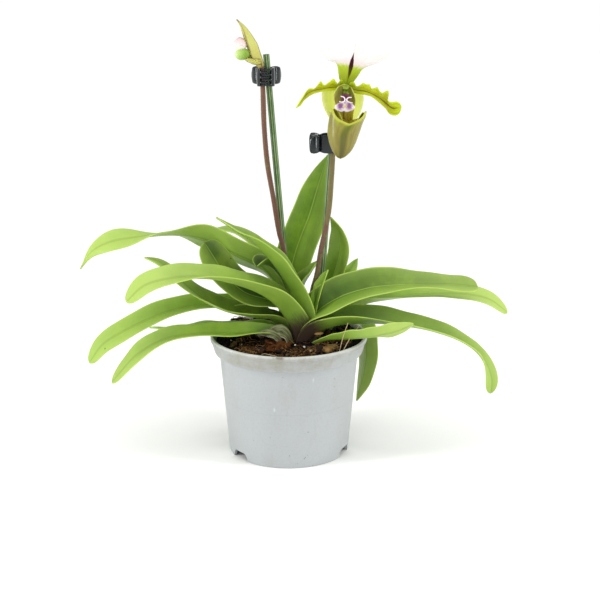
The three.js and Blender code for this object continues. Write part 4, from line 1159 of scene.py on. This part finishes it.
# ---- flower ----
def loft(name, rows, columns, steps, thickness, edge, by_length=True, **fields):
    """A fleshy sheet through rows of points; a row runs across, and the rows follow one another upwards."""
    rails = [Spine(row, by_length) for row in rows]
    across = {}

    def place(u, v):
        if u not in across:
            across[u] = Spine([rail.at(u) for rail in rails], by_length=False)
        return across[u].at(v)

    charts = {field: lambda u, v, value=value: value(place, u, v) for field, value in fields.items()}
    piece = sheet(name, columns, steps, place, **charts)
    return thicken(piece, thickness, edge, columns,
                   lambda u, v: 1 - max(abs(2 * u - 1), abs(2 * v - 1)) ** 6)


SEPAL_ROWS = (
    ((40.4, -16.5, 286), (43, -17.2, 285.6), (45.6, -16.5, 286)),
    ((37.2, -18.2, 289.6), (40, -18.9, 289.4), (43, -19.6, 289.2), (45.6, -18.9, 289), (48.2, -18.2, 289)),
    ((36.4, -19.8, 294), (40, -21, 293.8), (44, -22.4, 293.8), (47.4, -21, 293), (50.7, -19.8, 292.8)),
    ((34.6, -22.5, 301.3), (39.8, -23.8, 300.6), (45.2, -25, 300), (49.6, -23.8, 298.6), (54, -22, 297.6)),
    ((27, -25, 304.6), (36, -26.2, 305.4), (46, -27.2, 305), (56.5, -25.6, 302.5), (65, -24, 302)),
    ((21.5, -24.5, 310.2), (20.5, -25.1, 311.8), (25.1, -25.6, 312.5), (30.7, -26.2, 312.3), (36.4, -26.8, 310.1),
     (41.4, -27.4, 307.8), (46, -27.9, 308.9), (49, -28.5, 317.5), (51.6, -27.9, 309.8), (54.2, -27.4, 307.5),
     (58.4, -26.8, 307.1), (63.4, -26.2, 308.1), (68.4, -25.6, 308.8), (72.7, -25.1, 308.5), (71.7, -24.5, 306.4)),
)
# Lower margin, midrib and frilled upper margin of each petal, from the column outwards.
LEFT_PETAL = (
    ((41.2, -17.6, 282), (38.8, -19, 282.2), (35.1, -21, 282.5), (30.3, -23, 282.2), (26.1, -24.5, 281.9),
     (21.8, -26, 281.2), (17.7, -28, 280), (14.1, -29, 277.8), (11.5, -30, 275.6), (9.3, -31, 272.6),
     (5.8, -31.6, 270.5)),
    ((41.2, -17.2, 283.4), (37.6, -17.6, 284), (32.5, -19.5, 283.9), (26.7, -21.8, 283.3), (21.7, -23.8, 282.6),
     (17.3, -26, 281.8), (13.4, -28, 279.8), (10.2, -29.8, 276.2), (5.8, -31.5, 270.6)),
    ((41.2, -17.5, 286.2), (39.9, -18.4, 289.1), (38.1, -19.4, 290), (36.3, -17.9, 286.6), (34.8, -19.4, 288.1),
     (33, -21, 290.5), (30.9, -19.9, 289.1), (28.5, -20.9, 287.2), (26.1, -22, 286.1), (23.7, -24.2, 289.2),
     (21.9, -22.8, 286.1), (19.5, -24.4, 284), (15.2, -27.4, 284.2), (12.9, -28, 281.9), (10.8, -29.5, 278.5),
     (8.8, -30.8, 275.7), (5.8, -31.5, 270.7)),
)
RIGHT_PETAL = (
    ((42.7, -17.5, 281.9), (44.8, -19, 282.1), (47.1, -21, 280.5), (50.1, -22.5, 279.8), (54.8, -24.5, 279.4),
     (60.1, -26.5, 278.1), (63.6, -28, 275.6), (68.3, -29.5, 271.6), (70.7, -30.5, 269.3), (71.9, -31, 267.2),
     (73.7, -31.2, 265.9), (77.3, -31.2, 265.3), (80, -31, 266.9), (81.1, -30.6, 270)),
    ((42.7, -17.2, 283.3), (45.5, -18.5, 283), (49.8, -20.6, 282), (55.5, -22.6, 281.4), (60.4, -24.6, 279.8),
     (66.1, -26.6, 276.8), (71, -28.4, 273), (75.3, -29.8, 270.4), (81.3, -30.4, 271.3)),
    ((42.6, -17.5, 286.6), (44.8, -18, 287.7), (47.5, -19.4, 288.2), (49.5, -18.6, 285), (51.9, -20, 285.7),
     (54.2, -22, 287.7), (56.5, -20.5, 286.4), (59, -23.4, 286.5), (60.1, -22, 283.6), (62.5, -23.4, 284.3),
     (64.3, -25.8, 285), (66, -24.6, 282.1), (67.8, -25.6, 280.9), (70.1, -27.6, 282.5), (71.9, -28.6, 282.8),
     (72.2, -27, 280.6), (71, -27.6, 278), (72.5, -29, 275.3), (74.9, -29.4, 274.9), (77.8, -29.6, 275.2),
     (80.2, -30, 273.9), (81.2, -30.3, 272.2)),
)
SYNSEPAL_ROWS = (
    ((36, -14, 285), (41.5, -14.5, 284.6), (47, -14, 284.8)),
    ((25.4, -15.4, 282.4), (32, -13, 282), (39.8, -12, 281.6), (47.5, -13, 281), (54, -15, 280.4)),
    ((24.4, -15, 276.5), (31.5, -12.6, 276), (39.6, -11.4, 275.6), (47.6, -12.6, 275), (55, -15, 275)),
    ((26.2, -15.2, 268.5), (32.5, -12.8, 268), (39.5, -11.8, 267.5), (46.5, -12.8, 267.2), (53.6, -15, 267.4)),
    ((31, -16, 260), (35, -14.6, 259.2), (39.5, -13.8, 258.6), (44.5, -14.6, 258.8), (49.5, -16, 259.6)),
    ((36.8, -17.5, 252.6), (38.4, -17, 251.4), (40, -16.8, 250.8), (41.8, -17, 251.2), (43.4, -17.5, 252.2)),
)
# Outer edge, hollow and inner edge of the ear that each horn folds into, left and right.
EAR_ROWS = (
    (((31.6, -35, 261.5), (30.9, -34, 266), (31.4, -33, 269), (32.8, -32.2, 270.4)),
     ((33.3, -31, 261.5), (33, -30, 265), (33.1, -30.6, 268), (33.5, -31.6, 270)),
     ((39.6, -41.4, 261.6), (38.4, -38.6, 264.6), (36.6, -35.4, 268), (33.6, -33, 270.6))),
    (((53.8, -35, 261.5), (55.4, -34.2, 264.4), (55.8, -33, 266.6), (55, -32.2, 267.9)),
     ((51.6, -31, 260.5), (52.4, -30.4, 263.4), (53.2, -31, 265.8), (54.2, -31.8, 267.5)),
     ((48.4, -42, 262), (50, -39.6, 264), (51.6, -36.4, 266.3), (53.6, -33, 268))),
)
# The back of the pouch runs up as a throat, and arches over the column as a hood.
THROAT_ROWS = (
    ((37.2, -31, 252), (38.6, -27.5, 252), (41.6, -25.6, 252), (44.6, -27.5, 252), (46, -31, 252)),
    ((37.4, -32.5, 262), (38.4, -28.5, 262), (41.6, -26.4, 262), (45, -28.5, 262), (46.2, -32.5, 262)),
    ((36, -33, 269), (37, -28, 269.5), (41.4, -25, 270), (46, -28, 269.5), (47, -33, 268.6)),
    ((33.4, -32.5, 275.5), (34.6, -27, 276), (40.8, -23, 276.5), (47, -27, 276), (48.2, -32, 275)),
    ((33.2, -31, 281), (34.8, -26, 281.5), (40.8, -21.5, 282), (46.6, -26, 281), (47.6, -30.5, 279.6)),
    ((36, -27.5, 285.6), (37.6, -24, 286), (41, -20.6, 286.6), (44.4, -24, 285.4), (45.8, -27.5, 284.4)),
)


class ORCHID_OT_sepals(bpy.types.Operator):
    """Model the dorsal sepal, the joined lower sepals and the two petals"""
    bl_idname = PREFIX + "sepals"
    bl_label = "Sepals and petals"

    def execute(self, context):
        flower = context.scene.orchid_flower
        dorsal = loft("dorsal_sepal_fan", SEPAL_ROWS, 64, 46, *BRACT_FLESH, by_length=False,
                      middle=lambda place, u, v: (place(u, v) - place(0.5, v)).length)
        seat(dorsal, (sepal_skin(flower, True), sepal_skin(flower, False)), "sepal_white", "dorsal_sepal")
        petal = petal_skin(flower)
        for name, rows in (("petal_left", LEFT_PETAL), ("petal_right", RIGHT_PETAL)):
            # The rows run along the petal, so the chart is turned for its length to lie on the UV map's Y.
            piece = loft(name + "_blade", rows, 100, 12, *PETAL_FLESH)
            for corner in piece.data.uv_layers.active.data:
                corner.uv = corner.uv[1], corner.uv[0]
            seat(piece, petal, "petal_tissue", name)
        # Joined sepals: thin pale tissue with green veins, lit through at the edge.
        s = Surface("lower_sepal_tissue", (0.15, 0.0015, (1, 1, 0.4)), Roughness=0.5)
        colour, grain, x, _ = tissue(s, {0: "#D4DC58", 0.3: flower.pale, 1: "#DCE46E"}, "#CAD65A", 20, 0.1, 0.3)
        pale = s.finish(edge_light(s, colour, x, "#E4EC96", 0.36), grain, 0.12)
        seat(loft("synsepal_blade", SYNSEPAL_ROWS, 30, 34, *PETAL_FLESH), pale, "sepal_green", "synsepal")
        return {"FINISHED"}


def pouch_rim(angle):
    """Height of the pouch's rim over its mean level: a notch in front, a horn each side, a low back."""
    turn = abs(angle)
    return (-5.4 * max(0, 1 - turn / 1.2) + (3.9 if angle < 0 else 2.4) * bump(turn - 1.42, 0.52)
            - 5 * ease(1.9, 2.5, turn))


class ORCHID_OT_pouch(bpy.types.Operator):
    """Model the slipper: a thin bag with a rolled rim and horns that fold in"""
    bl_idname = PREFIX + "pouch"
    bl_label = "Pouch"

    def execute(self, context):
        flower = context.scene.orchid_flower
        centres = Spine(((37.6, -39, 235.4), (38, -39, 236.9), (38.7, -38.4, 241), (39.1, -37.4, 246.8),
                         (39.7, -36.2, 253.2), (40.8, -35.2, 257.8), (42.6, -34.3, 263), (43.6, -34, 266)),
                        by_length=False)
        sizes = Spine(((0, 0, 0), (3, 2.8, 0), (6.7, 5.8, 0), (9.5, 8, 0), (11.3, 9.4, 0), (12.1, 9.9, 0),
                       (12.8, 10, 0), (13, 9.8, 0)), by_length=False)
        wall_end = 0.8

        def place(u, v):
            angle = (u - 0.5) * tau
            row = min(1, v / wall_end)
            across, deep, _ = sizes.at(row)
            share = ease(0.55, 1, row)
            horn = bump(abs(angle) - 1.45, 0.42)
            out = Vector((sin(angle), -cos(angle), 0))
            keel = 0.5 * bump(angle, 0.28) * ease(0.15, 0.5, row)
            lean = 1 - 0.02 * horn * share
            spot = centres.at(row) + Vector((across * lean * out.x, (deep + keel) * out.y,
                                             pouch_rim(angle) * share))
            if v > wall_end:
                # Over the rolled rim, and down inside where the horn folds in.
                roll = 0.45 + 0.2 * horn
                over = (v - wall_end) / (1 - wall_end)
                turn = pi * min(1, over / 0.4)
                down = max(0, over - 0.4) / 0.6
                spot += -out * (roll * (1 - cos(turn)) + 0.8 * horn * down)
                spot += Vector((0, 0, roll * sin(turn) - (1.5 + 4 * horn) * down))
            return spot

        def lift(u, v):
            return min(1, v / wall_end)

        def front(u, v):
            return bump((u - 0.5) * tau + 0.1 - 0.2 * lift(u, v), 0.34 - 0.14 * lift(u, v))

        piece = close_up(sheet("pouch_bag", 72, 56, place, lift=lift, front=front))
        modify(piece, "SOLIDIFY", thickness=0.0007, offset=-0.6, material_offset=1, use_rim=True,
               use_quality_normals=True)
        subdivide(piece)
        seat(piece, (pouch_skin(flower, False), pouch_skin(flower, True)), "pouch_tissue", "pouch")
        # Throat of the pouch: satin yellow tissue with a brown streak up one side.
        s = Surface("throat_tissue", (0.08, 0.001), Roughness=0.5)
        colour, grain, x, y = tissue(s, {0: "#C0A828", 0.35: "#DCCF36", 0.5: "#C6BA5C", 0.75: "#C0BC64",
                                         0.92: "#CAD05C"}, "#8A7A34", 26, 0.12, 0.4)
        streak = (x, {0.3: 0, 0.4: 0.9, 0.48: 0}), (y, {0.1: 1, 0.5: 0.8, 0.56: 0})
        throat = s.finish(s.over(colour, "#6E4316", *streak), grain, 0.2)
        seat(loft("pouch_throat", THROAT_ROWS, 28, 40, 0.9 * MM, 0.5 * MM), throat, "pouch_tissue")
        ears = [loft("ear", rows, 20, 20, 0.8 * MM, 0.5 * MM) for rows in EAR_ROWS]
        # Folded horns: waxy, olive in the fold and lime at both edges.
        s = Surface("pouch_ear_tissue", Roughness=0.4)
        colour, grain, *_ = tissue(s, {0: "#B8C244", 0.16: "#A4982E", 0.45: "#8E7A26", 0.62: "#AAA02E",
                                       0.78: "#BCC444", 1: "#CAD24E"}, "#6A5618", 20, 0.04, 0.4)
        seat(join("pouch_ears", *ears), s.finish(colour, grain), "pouch_tissue")
        return {"FINISHED"}


class ORCHID_OT_column(bpy.types.Operator):
    """Model the column with its shield, boss and curls"""
    bl_idname = PREFIX + "column"
    bl_label = "Column"

    def execute(self, context):
        flower = context.scene.orchid_flower
        centre = Vector((40.5, -36.6, 272.4))

        def shield(way):
            x, z = way.x, way.z
            broad = 1.04 - 0.3 * ease(-0.3, 1, z)
            notch = -0.9 * bump(x + 0.05, 0.16) * max(0, -z) ** 2
            dish = 0.7 * (1 - x * x - z * z) if way.y < 0 else 0
            knob = -0.9 * bump(hypot(x - 0.03, z - 0.08), 0.17) if way.y < 0 else 0
            puff = -0.8 * bump(abs(x) - 0.55, 0.3) * bump(z + 0.35, 0.5) if way.y < 0 else 0
            return centre + Vector((x * 7.1 * broad, way.y * 1.4 + dish + knob + puff,
                                    z * (4.1 - 0.4 * abs(x)) + notch * z if z < 0 else z * 3.9))

        piece = ball("column_shield", 64, 48, shield)
        spots = [vertex.co / MM - centre for vertex in piece.data.vertices]
        tint(piece, "boss", [bump(hypot(x - 0.2, z - 0.3), 1.1) for x, _, z in spots])
        tint(piece, "mauve", [
            bump(hypot((abs(x) - 3.1) / 2.9, (z - 0.5) / 3.2), 1) + 0.5 * bump(x, 0.5) * ease(1, 3, z)
            for x, _, z in spots])
        tint(piece, "dark", [ease(3.4, 4.6, z) for _, _, z in spots])
        seat(piece, shield_skin(flower), "column_tissue", "column")
        # Two white curls, back to back, over a maroon hollow.
        curls = [tube("curl", path, lambda angle, t: 0.46 - 0.12 * abs(2 * t - 1), 10, 40) for path in (
            ((36.7, -37.2, 276), (39.2, -38, 275.7), (40.6, -38.5, 277.3),
             (39.8, -38, 279.1), (37.6, -37.2, 279.7)),
            ((46, -37.2, 274.9), (43.5, -38, 275.7), (41.7, -38.5, 277.3),
             (43, -38, 278.8), (45.3, -37.2, 278.9)))]
        white = speckled("curl_tissue", 900, 0.05, {0.3: "#E3C9D8", 0.58: "#F6EEF1"}, 2, 0.35)
        seat(join("column_curls", *curls), white, "column_tissue")
        pad = ball("column_hollow", 30, 20,
                   lambda way: Vector((41.1, -34.6, 278.6)) + Vector((way.x * 3.4, way.y * 2, way.z * 3)))
        maroon = speckled("column_maroon_tissue", 700, 0.1, {0.36: "#3C0A1C", 0.6: "#6A1C3A", 0.75: "#93506E"})
        seat(pad, maroon, "column_tissue")
        crest = pebble("crest", (2.3, 4.6, 1.9), 9, 0.9, 0.35, 32, 22)
        crest.data.transform(Matrix.Translation(Vector((41.6, -24, 284.6)) * MM))
        neck = tube("neck", ((42.4, -17, 284), (42, -25, 281), (41.2, -33.5, 275)),
                    lambda angle, t: 2.6 - 0.4 * t, 20, 24)
        lime = speckled("column_neck_tissue", 340, 0.15, {0.3: "#5C7010", 0.5: "#7C921C", 0.7: "#A0AE34"})
        seat(join("column_neck", neck, crest), lime, "column_tissue")
        return {"FINISHED"}


# ---- claw clips ----
JAW_LINE = ((10.8, -5.6, 0), (7.6, -3.4, 0), (4.5, 0, 0), (4.9, 3.6, 0), (5.6, 7.2, 0), (5.7, 10.4, 0),
            (5.2, 12.8, 0), (3.8, 14.4, 0))
TOOTH_LINE = ((5.2, 12.8), (3.4, 14.7), (0.6, 15.2), (-2.6, 14.8))


def oblong(a, b, power=4):
    """Radius, by angle, of a rounded oblong of half sizes a and b."""
    return lambda angle, t=0: (abs(cos(angle) / a) ** power + abs(sin(angle) / b) ** power) ** (-1 / power)


def jaw(name, levels, knuckle):
    """One jaw of a clip, in the clip's own frame: thumb tab, waist, claw, teeth and knuckles."""
    line = Spine(JAW_LINE)

    def place(u, v):
        s = 2 * u - 1
        along = line.heading(v)
        out = Vector((along.y, -along.x, 0))
        tip = max(0, 1 - v / 0.17)
        half = 6.7 * (0.2 + 0.8 * sqrt(1 - tip ** 2)) * (1 - 0.14 * bump(v - 0.43, 0.08))
        # A groove between thumb tab and shoulder, and a claw that swells a little.
        groove = -0.8 * bump(v - 0.43, 0.03)
        swell = 0.5 * bump(v - 0.72, 0.2) * (1 - s * s)
        return line.at(v) + out * (swell + groove) + Vector((0, 0, s * half))

    def pillow(way):
        broad = max(1e-6, hypot(way.x, way.y)) ** -0.5
        x, y, z = way.x * broad, way.y * broad, copysign(abs(way.z) ** 0.5, way.z)
        return Vector((8.2 + 2.5 * x + 1.3 * y, -1.8 - 3.1 * x + 1.05 * y, 6.4 * z))

    plate = sheet("plate", 24, 60, place)
    modify(plate, "SOLIDIFY", thickness=0.0018, offset=0, use_quality_normals=True)
    modify(plate, "BEVEL", width=0.0005, segments=3, limit_method="ANGLE", angle_limit=radians(50))
    parts = [smooth(plate, 40), ball("thumb", 40, 28, pillow)]
    waist = line.at(0.5)
    parts.append(tube("rib", ((waist.x + 0.9, waist.y, -5.6), (waist.x + 0.9, waist.y, 5.6)), 0.45, 10, 10))
    for level in levels:
        z = level * 1.9
        path = [(x, y, z) for x, y in TOOTH_LINE]
        parts.append(tube("tooth", path, lambda angle, t: oblong(0.8, 0.75)(angle) * (1 - 0.25 * t * t), 16, 26,
                          (0, 0, 1)))
    for level in (knuckle, -knuckle):
        parts.append(tube("knuckle", ((0, 0, level - 1.05), (0, 0, level + 1.05)), 2.35, 28, 12))
        parts.append(tube("web", ((1.4, 0, level), (4.4, 0, level)), oblong(1, 1.1), 16, 10, (0, 0, 1)))
    return join(name, *parts)


class ORCHID_OT_clips(bpy.types.Operator):
    """Model one claw clip with its spring and pin, and set it on both spikes"""
    bl_idname = PREFIX + "clips"
    bl_label = "Claw clips"

    def execute(self, context):
        plastic, steel = clip_plastic(context.scene.orchid_hardware), spring_steel()
        moving = jaw("moving", (-2, 0, 2), 3)
        fixed = jaw("fixed", (-3, -1, 1, 3), 5.4)
        fixed.data.transform(Matrix.Rotation(pi, 4, "Y"))
        coil = [(1.5 * cos(a), 1.5 * sin(a), -1.25 + 2.5 * k / 54)
                for k in range(55) for a in [radians(-100 - 26 * k)]]
        spring = tube("spring", [(-6.6, -4.3, -1.25), *coil], 0.3, 8, 260, (0, 0, 1))
        leg = tube("leg", [(coil[-1][0] - 0.5, coil[-1][1], 1.25), (6.6, -4.2, 1.25)], 0.3, 8, 12, (0, 0, 1))
        pin = tube("pin", ((0, 0, -6.7), (0, 0, 6.7)), 0.84, 24, 40)
        for clip, pivot, turn in (("bud_clip", (-16.8, 27.8, 288), 180), ("flower_clip", (21.9, -6.8, 242), -90)):
            setting = Matrix.Translation(Vector(pivot) * MM) @ Matrix.Rotation(radians(turn), 4, "Z")
            for model, name, finish, slot, body, nodes in (
                    (fixed, "fixed_shell", plastic, "clip_plastic", "root", ["fixed_jaw"]),
                    (moving, "moving_shell", plastic, "clip_plastic", clip + "_jaw", ["moving_jaw"]),
                    (spring, "spring_coil", steel, "spring_steel", "root", ["spring"]),
                    (leg, "spring_leg", steel, "spring_steel", clip + "_jaw", []),
                    (pin, "pin_rod", steel, "spring_steel", "root", ["pin"])):
                piece = model.copy()
                piece.data = model.data.copy()
                piece.name = piece.data.name = f"{clip}_{name}"
                bpy.context.collection.objects.link(piece)
                piece.data.transform(setting)
                seat(piece, finish, slot, *[f"{clip}_{node}" for node in nodes], body=body)
        for model in (moving, fixed, spring, leg, pin):
            bpy.data.objects.remove(model)
        return {"FINISHED"}


# ---- stage ----
def matt_floor(stage):
    """Matt white board: no gloss, so that only soft shade shows on it."""
    return Surface("floor_matt_board", Roughness=1, Specular_IOR_Level=0).finish(stage.floor)


class ORCHID_OT_stage(bpy.types.Operator):
    """Lay the pale floor, light it softly and set the camera"""
    bl_idname = PREFIX + "stage"
    bl_label = "Stage"

    def execute(self, context):
        stage = context.scene.orchid_stage
        bpy.ops.mesh.primitive_plane_add(size=60)
        floor = start("floor")
        floor.data.materials.append(matt_floor(stage))
        world = bpy.data.worlds.new("white_room")
        context.scene.world = world
        world.use_nodes = True
        world.node_tree.nodes["Background"].inputs["Color"].default_value = (1, 1, 1, 1)
        world.node_tree.nodes["Background"].inputs["Strength"].default_value = stage.room_light
        bpy.ops.object.light_add(type="SUN")
        key = context.object
        key.rotation_euler = Vector((0.2, -0.25, 0.95)).to_track_quat("Z", "Y").to_euler()
        key.data.energy = stage.key_light
        softness = 70
        key.data.angle = radians(softness)
        # A box on the left and a narrow strip on the right, for the highlights of whatever is glossy.
        for spot, size, power in (((-1, -0.4, 0.52), (0.16, 0.9), 6), ((1, -0.35, 0.45), (0.08, 0.8), 3.6)):
            bpy.ops.object.light_add(type="AREA", location=spot)
            lamp = context.object
            lamp.rotation_euler = (Vector(spot) - Vector((0.03, -0.03, 0.26))).to_track_quat("Z", "Y").to_euler()
            lamp.data.shape = "RECTANGLE"
            lamp.data.size, lamp.data.size_y = size
            lamp.data.energy = power
        side, tilt = 8.75 * MM, radians(74.6)
        spot = side, -stage.camera_distance, stage.camera_height
        bpy.ops.object.camera_add(location=spot, rotation=(tilt, 0, 0))
        context.object.data.lens = 77.5
        context.object.data.sensor_width = 36
        context.scene.camera = context.object
        context.scene.view_settings.view_transform = "Standard"
        return {"FINISHED"}


OPERATORS = (
    ORCHID_OT_pot, ORCHID_OT_mix, ORCHID_OT_rootstock, ORCHID_OT_sticks, ORCHID_OT_stems, ORCHID_OT_leaves,
    ORCHID_OT_bud, ORCHID_OT_sepals, ORCHID_OT_pouch, ORCHID_OT_column, ORCHID_OT_clips, ORCHID_OT_stage,
)


class VIEW3D_PT_orchid(bpy.types.Panel):
    """Lists the steps that build the orchid, and their settings"""
    bl_label = "Slipper Orchid"
    bl_idname = "VIEW3D_PT_orchid"
    bl_space_type = "VIEW_3D"
    bl_region_type = "UI"
    bl_category = "Orchid"

    def draw(self, context):
        for operator in OPERATORS:
            self.layout.operator(operator.bl_idname)
        for name, group in SETTINGS.items():
            box = self.layout.box()
            for field in group.__annotations__:
                box.prop(getattr(context.scene, name), field)


def register():
    for name, group in SETTINGS.items():
        bpy.utils.register_class(group)
        setattr(bpy.types.Scene, name, PointerProperty(type=group))
    for cls in (*OPERATORS, VIEW3D_PT_orchid):
        bpy.utils.register_class(cls)


def unregister():
    for cls in (VIEW3D_PT_orchid, *reversed(OPERATORS)):
        bpy.utils.unregister_class(cls)
    for name, group in reversed(SETTINGS.items()):
        delattr(bpy.types.Scene, name)
        bpy.utils.unregister_class(group)


def main():
    register()
    for operator in OPERATORS:
        getattr(bpy.ops.orchid, operator.bl_idname.removeprefix(PREFIX))()


if __name__ == "__main__":
    main()
